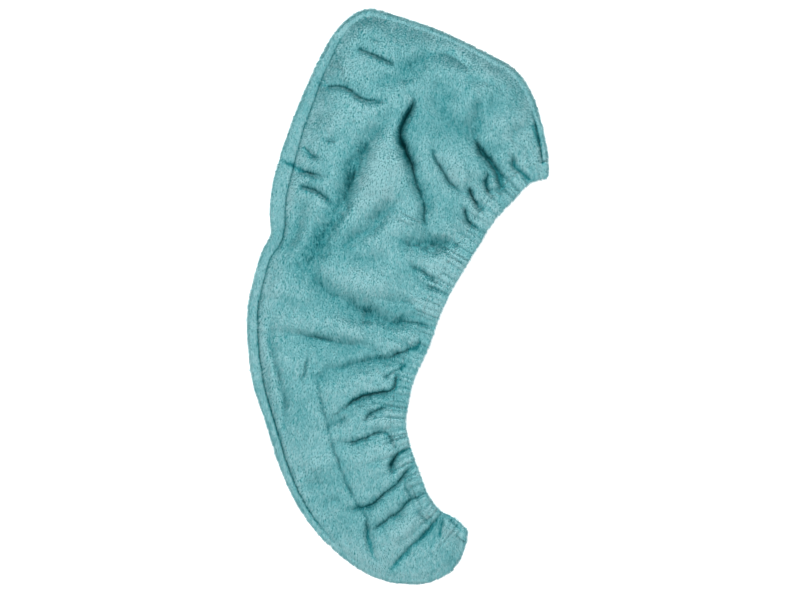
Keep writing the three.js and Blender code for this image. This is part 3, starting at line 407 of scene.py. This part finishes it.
def all_puckers(places, way, distance):
    """How the puckers lift the cloth: fullest on the hem, dying out into the panel beside it."""
    inside = np.maximum(distance, 0)
    wander = 0.004 * small_waves(places) * np.minimum(inside / 12, 2.5)
    fade = np.exp(-inside / (FINE_FADE + 9 * broad_waves(places * 1.5)))
    fine = FINE_PUCKER * puckers(way + wander, PUCKER_COUNT, 11, 0.55) * fade
    middle = MIDDLE_PUCKER * puckers(way + wander, PUCKER_COUNT // 2, 21) * np.exp(-inside / MIDDLE_FADE)
    large = (LARGE_PUCKER * puckers(way + 1.5 * wander, PUCKER_COUNT // 5, 31, 1)
             * np.exp(-inside / LARGE_FADE))
    on_hem = np.where(distance < 0, CALMED_ON_HEM, 1)
    return fine + middle * on_hem + large * on_hem


print(PUCKER_COUNT, "puckers,", round(line_length(mouth_edge) / PUCKER_COUNT, 1), "mm apart")

# %% [markdown]
# ## The upper layer
# The upper layer is one piece of cloth over a hollow. Its height rises from the seam in a round shoulder,
# keeps a low loft over the hood and sinks towards the tail, and it meets the gathered hem at the mouth.
# The folds are pressed into that height, and where a fold has a lip the cloth is also pushed sideways over
# it, which a height alone can't do. The outer face is a fine grid, the inner one a coarse grid, and a strip
# round the rim joins the two, so that the cloth has its thickness.

# %% Height of the upper layer, and the push at the folds
FOLD_STEPS = 24
SEAM_CALM, HEM_CALM = 14, 16
DITCH_DEPTH = 2.4
SOFT_FLOOR = 2


def hem_middle(way):
    closed = HEM_THICKNESS / 2 + 2 * HEM_TURN_RADIUS
    return closed + (MOUTH_GAPE - 2 * HEM_TURN_RADIUS + HEM_THICKNESS) * table_value(HEM_HEIGHTS, way)


def step(value, low, high):
    share = np.clip((value - low) / (high - low), 0, 1)
    return share * share * (3 - 2 * share)


def press_folds(places, fade):
    """How far the folds sink each place, how far their lips push it, and how tight they are there."""
    sink, tight = np.zeros((2, len(places)))
    push = np.zeros((len(places), 2))
    places = astray(places)
    wobble = 1 + 0.45 * small_waves(places * 1.4) + 0.25 * small_waves(places * 3.7)
    for depth, reach, lean, crease, lip, points in FOLDS:
        line = smooth_line(placed(points), FOLD_STEPS)
        room = 2.6 * reach * (1 + abs(lean))
        near = np.flatnonzero(np.all((places > line.min(0) - room) & (places < line.max(0) + room), axis=1))
        distance, way, side = nearest(line, places[near])
        flank = distance / (reach * (1 + lean * side))
        from_end = np.minimum(way, 1 - way)
        taper = np.minimum(1, 0.35 + 3 * from_end)
        pinch = np.minimum(1, 0.1 + 5 * from_end)
        narrow = np.exp(-(distance / (CREASE_REACH + 0.25 * crease)) ** 1.7)
        uneven = wobble[near]
        sink[near] += (depth * taper * (0.6 + 0.4 * uneven) * np.exp(-1.4 * flank**2)
                       + 1.3 * crease * pinch * uneven * narrow * fade[near])
        tight[near] = np.maximum(tight[near], narrow * pinch * min(1, crease / 4))
        if lip:
            index = np.clip((way * FOLD_STEPS).astype(int), 0, FOLD_STEPS - 1)
            run = unit(line[index + 1] - line[index])
            across = np.stack([-run[:, 1], run[:, 0]], 1)
            lapping = np.sign(lip) == side
            reach_over = abs(lip) * pinch * np.exp(-((distance - 2.6) / 3.2) ** 2) * lapping * fade[near]
            push[near] -= across * (reach_over * side)[:, None]
    return sink, push, tight


def cloth_top(places):
    """The height of the cloth's outer face at each place, on the panel and on the hem, and the lips' push."""
    seam, seam_way, _ = nearest(seam_rim, places)
    hem, hem_way, side = nearest(hem_rim, places)
    hem = np.where(side > 0, -hem, hem)
    on_panel = hem > 0
    along = places[:, 1] / TOWEL_LENGTH
    loft = (MIDDLE_LOFT + (HOOD_LOFT - MIDDLE_LOFT) * step(along, -0.12, 0.12)
            + (TAIL_LOFT - MIDDLE_LOFT) * step(-along, 0.16, 0.36))
    from_hem = np.maximum(hem, 0)
    at_hem = np.exp(-from_hem / MOUTH_ROLL)
    inside = (loft + SEAM_THICKNESS) * (1 - at_hem) + (hem_middle(hem_way) + HEM_THICKNESS / 2) * at_hem
    beside_hem = np.exp(-from_hem / 8) * np.minimum(1, seam / 6)
    rise = np.maximum(1 - np.exp(-seam / EDGE_ROLL), beside_hem)
    rise = np.where(on_panel, rise, 1)
    from_seam = np.where(on_panel, np.minimum(1, seam / SEAM_CALM), 1)
    sink, push, _ = press_folds(places, np.minimum(1, from_seam * 2))
    sink *= from_seam * (0.6 + 0.4 * np.clip(hem / HEM_CALM, 0, 1))
    waves = (1.2 * broad_waves(places) + 0.45 * small_waves(places)) * from_seam
    high = (SEAM_THICKNESS + (inside - SEAM_THICKNESS) * rise - sink + waves
            + all_puckers(places, hem_way, hem) * from_seam)
    least = SEAM_THICKNESS + 0.4 * np.minimum(seam, 6)
    soft = least + SOFT_FLOOR * np.exp(np.minimum((high - least - SOFT_FLOOR) / SOFT_FLOOR, 0))
    high = np.where(high > least + SOFT_FLOOR, high, soft)
    ditch = table_value(SEAM_DITCH, seam_way)
    high -= DITCH_DEPTH * np.minimum(ditch, 1.3) * np.exp(-((seam / (1.1 + 0.6 * ditch)) ** 2)) * on_panel
    return high, push * np.minimum(1, np.minimum(seam, np.abs(hem)) / 5)[:, None]


def upper_surface(places):
    high, push = cloth_top(places)
    return np.column_stack([places + push, high])


# %% A grid of places between a panel's four sides
TOP_CORNER_WAY, TAIL_CORNER_WAY = 0.268, 0.945


def panel_places(rows, columns):
    top_mark, tail_mark = (rim_start[0] + (rim_end[0] - rim_start[0]) * way
                           for way in (TOP_CORNER_WAY, TAIL_CORNER_WAY))
    u = np.linspace(0, 1, columns + 1)
    u = u + 0.07 * np.sin(np.pi * u) + 0.045 * np.sin(2 * np.pi * u)
    top = part_of(seam_beyond, rim_start[0], top_mark, 1 - u[::-1])[::-1]
    left = part_of(seam_beyond, top_mark, tail_mark, rows)
    bottom = part_of(seam_beyond, tail_mark, rim_end[0], u)
    right = part_of(hem_beyond, rim_start[1], rim_end[1], rows)
    u = u[None, :, None]
    v = np.linspace(0, 1, rows + 1)[:, None, None]
    sides = left[:, None] * (1 - u) + right[:, None] * u + top[None] * (1 - v) + bottom[None] * v
    corners = (left[0] * (1 - u) * (1 - v) + right[0] * u * (1 - v)
               + left[-1] * (1 - u) * v + right[-1] * u * v)
    return (sides - corners).reshape(-1, 2)


def grid_faces(rows, columns):
    a = (np.arange(rows)[:, None] * (columns + 1) + np.arange(columns)).ravel()
    return np.stack([a, a + columns + 1, a + columns + 2, a + 1], 1)


def grid_rim(rows, columns):
    """The rim of a grid, counted in its points, anticlockwise from the top corner."""
    wide = columns + 1
    left = np.arange(rows) * wide
    bottom = rows * wide + np.arange(columns)
    right = np.arange(rows, 0, -1) * wide + columns
    top = np.arange(columns, 0, -1)
    return [left, bottom, right, top]


def join_rims(first, second):
    """Faces that join two rims of different counts, side by side, each side of them evenly spaced."""
    faces = []
    for number in range(len(first)):
        following = (number + 1) % len(first)
        mine = [*first[number], first[following][0]]
        other = [*second[number], second[following][0]]
        mine_steps, other_steps = len(mine) - 1, len(other) - 1
        i = j = 0
        while i < mine_steps or j < other_steps:
            behind = (i + 1) / mine_steps <= (j + 1) / other_steps
            if j == other_steps or (i < mine_steps and behind):
                faces.append((mine[i], other[j], mine[i + 1]))
                i += 1
            else:
                faces.append((mine[i], other[j], other[j + 1]))
                j += 1
    return np.array(faces)


# %% [markdown]
# ### Making meshes quickly
# A mesh of a hundred thousand faces is slow to make face by face, so its numbers are handed over whole.

# %% A mesh from points and faces
def add_object(name, data):
    made = bpy.data.objects.new(name, data)
    bpy.context.scene.collection.objects.link(made)
    return made


def make_mesh(name, points, groups, materials, slots=None):
    """A piece from points in millimetres and groups of faces, each group with its own count of corners."""
    mesh = bpy.data.meshes.new(name)
    points = np.asarray(points, np.float32) * MM
    corners = np.concatenate([np.asarray(group, np.int32).ravel() for group in groups])
    sizes = np.concatenate([np.full(len(group), len(group[0]), np.int32) for group in groups])
    mesh.vertices.add(len(points))
    mesh.vertices.foreach_set("co", points.ravel())
    mesh.loops.add(len(corners))
    mesh.loops.foreach_set("vertex_index", corners)
    mesh.polygons.add(len(sizes))
    mesh.polygons.foreach_set("loop_start", np.r_[0, np.cumsum(sizes)[:-1]].astype(np.int32))
    for material in materials:
        mesh.materials.append(material)
    if slots is not None:
        mesh.polygons.foreach_set("material_index", np.asarray(slots, np.int32))
    mesh.polygons.foreach_set("use_smooth", np.ones(len(sizes), bool))
    mesh.update(calc_edges=True)
    mesh.validate()
    return add_object(name, mesh)


# %% [markdown]
# ## The plush's colours
# Short brushed pile has no gloss. Its colour is painted deeper in the folds and paler on slopes towards the
# lamp, which is painted shade and light, with patches where it was brushed the other way. The cloth under the
# pile gets a mixed, much darker teal, painted shade of the pile over it, with a fine bump. Shader maths is
# written as plain sums by a small class that wraps a socket.

# %% Shader maths as plain sums
class Value:
    """One output of a material's nodes."""

    def __init__(self, material, socket):
        self.material, self.socket = material, socket

    def maths(self, operation, other):
        return self.material.node("ShaderNodeMath", {"operation": operation}, {0: self, 1: other})

    def __add__(self, other):
        return self.maths("ADD", other)

    def __rmul__(self, other):
        return self.maths("MULTIPLY", other)


class Finish:
    """A material being made."""

    def __init__(self, name):
        self.material = bpy.data.materials.new(name)
        self.material.use_nodes = True
        self.tree = self.material.node_tree
        self.shader = self.tree.nodes["Principled BSDF"]

    def node(self, kind, settings=None, inputs=None, output=0):
        made = self.tree.nodes.new(kind)
        for key, value in (settings or {}).items():
            if key == "stops":
                for stop in value[2:]:
                    made.color_ramp.elements.new(stop[0])
                for element, (position, colour) in zip(made.color_ramp.elements, value):
                    element.position, element.color = position, (*colour, 1)
            else:
                setattr(made, key, value)
        for key, value in (inputs or {}).items():
            self.feed(made.inputs[key], value)
        return Value(self, made.outputs[output])

    def feed(self, socket, value):
        if isinstance(value, Value):
            self.tree.links.new(value.socket, socket)
        else:
            socket.default_value = value

    def set(self, **inputs):
        for name, value in inputs.items():
            self.feed(self.shader.inputs[name.replace("_", " ")], value)
        return self

    def blotches(self, place, size, detail=2.0):
        """Soft noise with blotches about size metres wide, from 0 to 1."""
        return self.node("ShaderNodeTexNoise", {}, {"Vector": place, "Scale": 1 / size, "Detail": detail})


# %% The cloth under the pile
TEAL = np.array([0.25, 0.64, 0.68])
# each channel's power of the shade: darker shades are also more saturated, as the pile looks in its own shade
SHADE_EXPONENTS = np.array([2.3, 0.95, 0.9])
# the cloth under the pile is much darker: painted shade of the pile over it
GROUND_SHADE_IN_PILE_SHADOW = 0.48


def teal(shade):
    """The teal at a shade, where a darker shade is also a stronger colour; the shades hold both the dye's own
    tone and painted shade and light.
    """
    return tuple(float(c) for c in np.clip(TEAL * shade**SHADE_EXPONENTS, 0, 1))


def cloth_finish(name, shade):
    finish = Finish(name)
    place = finish.node("ShaderNodeTexCoord", output=3)
    mix = (0.5 * finish.blotches(place, 0.004) + 0.3 * finish.blotches(place, 0.018)
           + 0.2 * finish.blotches(place, 0.06))
    colour = finish.node("ShaderNodeValToRGB", {"stops": [
        (0.3, teal(0.72 * shade)), (0.7, teal(1.12 * shade)), (0.5, teal(0.92 * shade))]}, {"Fac": mix})
    grain = finish.blotches(place, 0.0016, 3.0)
    bump = finish.node("ShaderNodeBump", {}, {"Strength": 0.6, "Distance": 0.0008, "Height": grain})
    return finish.set(Base_Color=colour, Normal=bump, Roughness=0.95, Specular_IOR_Level=0).material


cloth = cloth_finish("plush_ground", GROUND_SHADE_IN_PILE_SHADOW)
hem_cloth = cloth_finish("plush_ground_hem", GROUND_SHADE_IN_PILE_SHADOW)
print("materials", cloth.name, hem_cloth.name)

# %% The upper layer as a mesh
ROWS, COLUMNS = 400, 110
BACK_ROWS, BACK_COLUMNS = 100, 38


def upper_layer():
    outer = upper_surface(panel_places(ROWS, COLUMNS))
    back = panel_places(BACK_ROWS, BACK_COLUMNS)
    heights = outer[:, 2].reshape(ROWS + 1, COLUMNS + 1)
    low = heights.copy()
    # the inner face follows the lowest cloth nearby, so that it can't come through a narrow crease
    for rows, columns in ((3, 0), (0, 3), (2, 2), (2, -2)):
        for sign in (1, -1):
            low = np.minimum(low, np.roll(heights, (sign * rows, sign * columns), (0, 1)))
    low[0], low[-1], low[:, 0], low[:, -1] = heights[0], heights[-1], heights[:, 0], heights[:, -1]
    rows = np.round(np.linspace(0, ROWS, BACK_ROWS + 1)).astype(int)
    columns = np.round(np.linspace(0, COLUMNS, BACK_COLUMNS + 1)).astype(int)
    under = np.maximum(low[np.ix_(rows, columns)].ravel() - CLOTH, CLOTH + SEAM_GAP)
    inner = np.column_stack([back, under])
    count = len(outer)
    rims = grid_rim(ROWS, COLUMNS), [side + count for side in grid_rim(BACK_ROWS, BACK_COLUMNS)]
    faces = grid_faces(ROWS, COLUMNS)
    back_faces = grid_faces(BACK_ROWS, BACK_COLUMNS)[:, ::-1] + count
    piece = make_mesh("upper_cloth", np.vstack([outer, inner]),
                      [np.vstack([faces, back_faces]), join_rims(*rims)], [cloth])
    return piece, outer


upper_cloth, upper_points = upper_layer()
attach(upper_cloth, "root")
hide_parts("upper_panel")
top_height = round(float(upper_points[:, 2].max()), 1)
print("upper cloth", len(upper_cloth.data.polygons), "faces, top at", top_height, "mm")

# %% [markdown]
# ## The under layer
# The under layer lies flat on the table, so only its edge and its inner face are ever seen, through the
# mouth. It has the same rim as the upper one, with a little unevenness inside.

# %% The under layer as a mesh
UNDER_ROWS, UNDER_COLUMNS = 120, 50


def under_layer():
    places = panel_places(UNDER_ROWS, UNDER_COLUMNS)
    seam, hem = nearest(seam_rim, places)[0], nearest(hem_rim, places)[0]
    swell = 0.5 * np.abs(small_waves(places * 1.3)) * np.minimum(1, np.minimum(seam, hem) / 10)
    top = np.column_stack([places, CLOTH - 0.5 + swell])
    bottom = np.column_stack([places, np.zeros(len(places))])
    count = len(places)
    rim = grid_rim(UNDER_ROWS, UNDER_COLUMNS)
    faces = grid_faces(UNDER_ROWS, UNDER_COLUMNS)
    both_faces = np.vstack([faces, faces[:, ::-1] + count])
    joined = join_rims(rim, [side + count for side in rim])
    return make_mesh("under_cloth", np.vstack([top, bottom]), [both_faces, joined], [cloth])


under_cloth = under_layer()
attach(under_cloth, "root")
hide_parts("under_panel")
print("under cloth", len(under_cloth.data.polygons), "faces")

# %% [markdown]
# ## The seam's flat edge
# Outside the seam the two layers are stitched flat together. The edge is a soft strip that is rounded off
# outside and dips into the seam line inside, and it is slightly pinched by the stitches.

# %% The seam edge as a mesh
SEAM_STEPS, SEAM_END_STEPS = 1000, 40


def seam_edge():
    count = SEAM_STEPS
    marks = spread_over(seam_beyond, rim_start[0], rim_end[0], count)
    near_start = np.clip(1 - np.arange(count + 1) / SEAM_END_STEPS, 0, 1)
    near_end = near_start[::-1]

    def rail(line):
        start, end = crossing(line, hem_beyond)[0], crossing(line, hem_beyond, True)[0]
        return place_on(line, marks + near_start * (start - marks[0]) + near_end * (end - marks[-1]))

    inner, outer = rail(seam_inner), rail(outer_long)
    section = np.array([(0, 0), (0, 0.5), (0.04, 0.68), (0.14, 0.86), (0.35, 0.98), (0.6, 0.99),
                        (0.8, 0.9), (0.93, 0.7), (1, 0.4), (0.97, 0.12), (0.9, 0), (0.45, 0)])
    places = inner[:, None] + (outer - inner)[:, None] * section[None, :, :1]
    shown = np.minimum(1, table_value(SEAM_DITCH, np.arange(count + 1) / count))[:, None]
    sloping = 0.2 + 0.8 * np.sqrt(np.maximum(1 - section[:, 0] ** 2.4, 0))
    level = sloping * (1 - shown) + section[:, 1] * shown
    level[:, 0] = level[:, -1] = level[:, -2] = 0
    dents = 0.5 * small_waves(places * 1.5) + 0.35 * broad_waves(places * 2)
    height = SEAM_THICKNESS * level + dents * level**2
    points = np.concatenate([places, np.maximum(height, 0)[..., None]], 2).reshape(-1, 3)
    size = len(section)
    a = (np.arange(count)[:, None] * size + np.arange(size)).ravel()
    b = (np.arange(count)[:, None] * size + (np.arange(size) + 1) % size).ravel()
    sides = np.stack([a, b, b + size, a + size], 1)
    ends = [np.arange(size)[::-1], count * size + np.arange(size)]
    return make_mesh("seam_edge", points, [sides, ends], [cloth]), points.reshape(count + 1, size, 3)


seam_strip, seam_points = seam_edge()
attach(seam_strip, "root")
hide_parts("seam_band")
print("seam edge", len(seam_strip.data.polygons), "faces")

# %% [markdown]
# ## The gathered hem
# The hem is one flat tube round the mouth: along the upper layer, over at the tail's tip, back along the
# under layer and over again at the hood's corner. The elastic inside is never seen. Its cross-section is
# swept round that loop, swelling and sinking with the puckers, and the mouth's edge is scalloped by them.

# %% The hem as a mesh
HEM_STEPS, HEM_SECTION, HEM_TURN_STEPS = 560, 24, 14


def gathered_hem():
    count = HEM_STEPS
    turn_inset = HEM_TURN_RADIUS + HEM_THICKNESS / 2
    inner_from, inner_to = crossing(hem_inner, outer_long)[0], crossing(hem_inner, outer_long, True)[0]

    def trimmed(line):
        inset = turn_inset / line_length(line) * (len(line) - 1)
        return part_of(line, inset, len(line) - 1 - inset, count)

    edge = trimmed(part_of(mouth_long, 1, len(mouth_long) - 2, 480))
    inner = trimmed(part_of(hem_inner, inner_from, inner_to, 480))
    angle = np.linspace(0, 2 * np.pi, HEM_SECTION, endpoint=False)
    out = 0.5 - 0.5 * np.sign(np.cos(angle)) * np.abs(np.cos(angle)) ** 0.8
    high = 0.5 * np.sign(np.sin(angle)) * np.abs(np.sin(angle)) ** np.where(out < 0.5, 0.12, 0.95)
    ways = np.arange(count + 1) / count
    calm = np.minimum(1, np.minimum(ways, 1 - ways) * 45)[:, None]
    crest = puckers(ways, PUCKER_COUNT, 11)[:, None] * calm
    across = edge - inner
    wide = inner[:, None] + across[:, None] * (out * (1 + 0.05 * crest * out))[..., None]
    middle = hem_middle(ways)[:, None]
    top = cloth_top(wide.reshape(-1, 2))[0].reshape(wide.shape[:2])
    top = (middle + HEM_THICKNESS / 2) * (1 - calm) + np.maximum(top, middle - 0.6) * calm
    base = middle - HEM_THICKNESS / 2
    upper = np.concatenate([wide, (base + (high + 0.5) * (top - base))[..., None]], 2)
    low = HEM_THICKNESS * (0.5 - high) + 0.3 * crest * (high < 0)
    lower = np.concatenate([wide, np.maximum(low, 0)[..., None]], 2)

    def turn(index, before, start):
        outwards = unit(edge[index] - edge[before] + inner[index] - inner[before])
        loops = []
        for share in np.linspace(0, np.pi, HEM_TURN_STEPS)[1:-1]:
            rise = np.cos(share) * start
            reach = (HEM_TURN_RADIUS + high * HEM_THICKNESS)[:, None]
            height = HEM_THICKNESS / 2 + HEM_TURN_RADIUS * (1 + rise) + high * HEM_THICKNESS * rise
            loops.append(np.column_stack([wide[index] + outwards * np.sin(share) * reach, height]))
        return np.array(loops)

    points = np.concatenate([upper, turn(count, count - 4, 1), lower[::-2], turn(0, 4, -1)])
    points[..., 2] = np.maximum(points[..., 2], 0)
    loops, size = points.shape[:2]
    here = np.arange(loops)[:, None] * size
    there = (np.arange(loops) + 1)[:, None] % loops * size
    side, following = np.arange(size), (np.arange(size) + 1) % size
    faces = np.stack([here + side, there + side, there + following, here + following], 2).reshape(-1, 4)
    return make_mesh("gathered_hem", points.reshape(-1, 3), [faces], [hem_cloth]), points


hem_ring, hem_points = gathered_hem()
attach(hem_ring, "root")
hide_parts("mouth_hem")
print("hem", len(hem_ring.data.polygons), "faces")

# %% [markdown]
# ## The pile
# The plush's short pile gives the towel its look: a soft nap that breaks the light into small flecks and
# blurs every edge. Hair particles would not survive outside Blender, and a bump alone is flat at the edges,
# so the pile is built: many small pointed tufts, each a closed sliver that leans the way the nap was brushed.
# Neighbouring tufts lean alike and draw together in clumps. Their colours are six plain shades of the teal.
# Soft random fields pick the shade, and so do the depth of the folds, the creases, the seam's ditch, the
# gathers and which way a slope faces. Those last shares are painted shade and light: the folds stay dark
# however the towel is lit, and slopes towards the lamp's side are painted paler. Light alone would be truer
# to life. But the folds are drawn along the photo's dark lines, and light from one side would shade a fold's
# flank instead of its middle.

# %% The tufts' six shades
# the darkest shade is mostly reached in the painted shade of deep creases
SHADES = (0.28, 0.62, 0.82, 0.97, 1.12, 1.27)


def tuft_finish(index, shade):
    finish = Finish(f"plush_tuft_{index}")
    return finish.set(Base_Color=(*teal(shade), 1), Roughness=0.9, Specular_IOR_Level=0).material


tuft_shades = [tuft_finish(index, shade) for index, shade in enumerate(SHADES)]
lean_across, lean_along = Swells(16, 41), Swells(16, 43)
clump_across, clump_along, clump_length = Swells(3.4, 45), Swells(3.4, 47), Swells(3.1, 49)
brushed, mottled = Swells(42, 51), Swells(2.7, 53)
# painted light: pile on slopes that face the lamp's side is given paler shades
LAMP_SIDE_PAINTED_PALE = np.array([-0.46, 0.89])
FOOT_DEPTH, PINCHED_SHORTER = 0.35, 0.6
# shades up or down: random tone from the soft fields; painted shade for the folds' depth, tight creases, the
# seam's ditch and pucker valleys, painted light on pucker crests; paler near the seam
BRUSHED, WAVED, MOTTLED, SCATTERED = 0.75, 0.4, 0.9, 0.6
PAINTED_SHADE_PER_MM_SUNK, PAINTED_CREASE_SHADE, PAINTED_SEAM_DITCH_SHADE, NEAR_SEAM, PAINTED_SHADE_PER_MM_GATHERED = 0.3, 1.3, 3, 0.9, 0.6
print(len(tuft_shades), "shades")

# %% Places for tufts on a surface, and the tufts
def spots_on(points, count, generator):
    """Evenly spread spots on a grid of points, with the surface's normal at each."""
    a, b, c, d = points[:-1, :-1], points[1:, :-1], points[1:, 1:], points[:-1, 1:]
    normal = np.cross(c - a, d - b).reshape(-1, 3)
    area = np.linalg.norm(normal, axis=1)
    sums = np.cumsum(area)
    picks = (np.arange(count) + generator.uniform(0, 1, count)) / count * sums[-1]
    cell = np.searchsorted(sums, picks).clip(0, len(area) - 1)
    u, v = generator.uniform(0, 1, (2, count, 1))
    corners = [x.reshape(-1, 3)[cell] for x in (a, b, c, d)]
    spot = (corners[0] * (1 - u) * (1 - v) + corners[1] * u * (1 - v) + corners[2] * u * v
            + corners[3] * (1 - u) * v)
    return spot, normal[cell] / np.maximum(area[cell], 1e-9)[:, None]


def make_tufts(name, spot, normal, generator, long=3.2, wide=0.58, tone=3.7, painted_slope_light=0.7):
    """Closed slivers that stand on the spots and lean with the nap."""
    count = len(spot)
    plan = spot[:, :2]
    lay = np.column_stack([0.05 + 0.55 * lean_across(plan) + 0.45 * clump_across(plan),
                           -1 + 0.4 * lean_along(plan) + 0.45 * clump_along(plan), np.zeros(count)])
    lay[:, :2] += generator.normal(0, 0.22, (count, 2))
    lay = unit(lay - normal * (lay * normal).sum(1)[:, None])
    upright = np.hypot(normal[:, 0], normal[:, 1])[:, None]
    lean = generator.uniform(0.75, 1.2, count)[:, None] * (1 - 0.6 * upright**2)
    way = normal * np.cos(lean) + lay * np.sin(lean)
    # how deep the folds sink and how tight their creases are under each tuft, for painted shade; tight
    # creases also shorten the tufts
    sunk, _, tight = press_folds(plan, np.ones(count))
    seam_distance, seam_way, _ = nearest(seam_rim[::2], plan)
    # a mask along the seam line's ditch: it shortens the tufts there and darkens them, which is painted shade
    seam_ditch_mask = np.exp(-((seam_distance / 1.5) ** 2)) * np.minimum(1.2, table_value(SEAM_DITCH, seam_way))
    tight = np.maximum(tight, seam_ditch_mask)
    # how high the puckers lift each tuft: valleys get painted shade and crests painted light
    hem_distance, hem_way, side = nearest(hem_rim[::2], plan)
    gathers = all_puckers(plan, hem_way, np.where(side > 0, -hem_distance, hem_distance))
    size = long * (1 + 0.22 * clump_length(plan) + generator.uniform(-0.25, 0.25, count))[:, None]
    size *= 1 - PINCHED_SHORTER * tight[:, None]
    across = unit(np.cross(normal, way))
    width = wide * generator.uniform(0.7, 1.3, count)[:, None]
    foot = spot - normal * FOOT_DEPTH
    back = foot + normal * 0.55 * width - lay * 0.3
    points = np.stack([foot + across * width, foot - across * width, back, spot + way * size], 1)
    points = points.reshape(-1, 3)
    start = np.arange(count)[:, None] * 4
    faces = (start[:, None] + np.array([(0, 1, 2), (0, 3, 1), (1, 3, 2), (2, 3, 0)])[None]).reshape(-1, 3)
    # painted light: how far a tuft's slope faces the lamp's side, for paler shades there
    facing_lamp_side = normal[:, :2] @ LAMP_SIDE_PAINTED_PALE
    # the shade: random tone, then painted shade and light from the folds, creases, seam ditch, puckers and
    # slope
    shade = (tone + BRUSHED * brushed(plan) + WAVED * small_waves(plan * 1.6 + 90)
             + MOTTLED * mottled(plan * (1.9, 0.6)) + generator.normal(0, SCATTERED, count)
             + painted_slope_light * np.clip(facing_lamp_side, -0.6, 0.5) - PAINTED_SHADE_PER_MM_SUNK * np.clip(sunk, -5, 9) - PAINTED_CREASE_SHADE * tight
             - PAINTED_SEAM_DITCH_SHADE * seam_ditch_mask + NEAR_SEAM * np.exp(-seam_distance / SEAM_CALM)
             + PAINTED_SHADE_PER_MM_GATHERED * gathers)
    slots = np.repeat(np.clip(np.round(shade), 0, len(SHADES) - 1).astype(int), 4)
    points[:, 2] = np.maximum(points[:, 2], 0.05)
    piece = make_mesh(name, points, [faces], tuft_shades, slots)
    soft = normal[:, None] * 0.85 + way[:, None] * 0.25 + generator.normal(0, 0.12, (count, 1, 3))
    soft = unit(soft + across[:, None] * np.array([0.3, -0.3, 0, 0])[None, :, None])
    piece.data.normals_split_custom_set_from_vertices(soft.reshape(-1, 3))
    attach(piece, "root")
    return piece


# %% [markdown]
# The upper layer's tufts are made in four pieces, one behind the other down the towel, because no single
# piece should hold too many faces.

# %% The pile on the upper layer, the seam edge and the hem
TUFTS = 185000
grid = upper_points.reshape(ROWS + 1, COLUMNS + 1, 3)
generator = np.random.default_rng(7)
spots, normals = spots_on(grid, int(TUFTS * 0.77), generator)
for index, rows in enumerate(np.array_split(np.arange(len(spots)), 4)):
    make_tufts(f"pile_upper_{index + 1}", spots[rows], normals[rows], generator)
edge_grid = seam_points[:, 1:11]
spots, normals = spots_on(edge_grid, int(TUFTS * 0.14), generator)
make_tufts("pile_seam", spots, -normals, generator, long=3.2, tone=3.4, painted_slope_light=0.3)
spots, normals = spots_on(np.concatenate([hem_points, hem_points[:1]]), int(TUFTS * 0.32), generator)
shown = (normals[:, 2] > -0.2) & ((spots[:, 2] > HEM_THICKNESS + 0.4) | (normals[:, 2] < 0.5))
spots, normals = spots[shown], normals[shown]
make_tufts("pile_hem", spots, normals, generator, long=2.8, wide=0.6, tone=3.3, painted_slope_light=0.5)

# %% [markdown]
# ## The studio
# The towel is seen from straight above on plain white, in even light. A large lamp stands nearly above it,
# a little to the upper left, and a pale surrounding fills the rest.

# %% Floor, light and camera
FLOOR_REACH, FLOOR_LEVEL = 3, -0.0004
SURROUNDING_LIGHT = 0.56
SENSOR_WIDTH, TOWEL_AWAY, PICTURE_WIDTH = 36, 1.79, 0.877


def make_floor():
    mesh = bpy.data.meshes.new("floor")
    corners = [(-FLOOR_REACH, -FLOOR_REACH), (FLOOR_REACH, -FLOOR_REACH), (FLOOR_REACH, FLOOR_REACH),
               (-FLOOR_REACH, FLOOR_REACH)]
    mesh.from_pydata([(x, y, FLOOR_LEVEL) for x, y in corners], [], [(0, 1, 2, 3)])
    finish = Finish("pale_floor").set(Base_Color=(0.92, 0.92, 0.92, 1), Roughness=0.9,
                                      Emission_Color=(1, 1, 1, 1), Emission_Strength=0.7)
    mesh.materials.append(finish.material)
    floor = add_object("floor", mesh)


def make_lamp(name, place, size, power):
    lamp = bpy.data.lights.new(name, "AREA")
    lamp.shape, lamp.size, lamp.energy = "DISK", size, power
    holder = add_object(name, lamp)
    holder.location = place
    holder.rotation_euler = (-Vector(place)).to_track_quat("-Z", "Y").to_euler()


make_floor()
make_lamp("window", place=(-0.35, 0.7, 2.4), size=1.6, power=36)
world = bpy.data.worlds.new("studio")
bpy.context.scene.world = world
world.use_nodes = True
colour, strength = world.node_tree.nodes["Background"].inputs[:2]
colour.default_value = (1, 1, 1, 1)
strength.default_value = SURROUNDING_LIGHT
bpy.context.scene.view_settings.view_transform = "Standard"

camera = add_object("camera", bpy.data.cameras.new("camera"))
camera.location = (0.00229, -0.00412, 1.8)
camera.data.sensor_width = SENSOR_WIDTH
camera.data.lens = SENSOR_WIDTH * TOWEL_AWAY / PICTURE_WIDTH
bpy.context.scene.camera = camera
print("camera", [round(value, 4) for value in camera.location], "lens", round(camera.data.lens, 1))
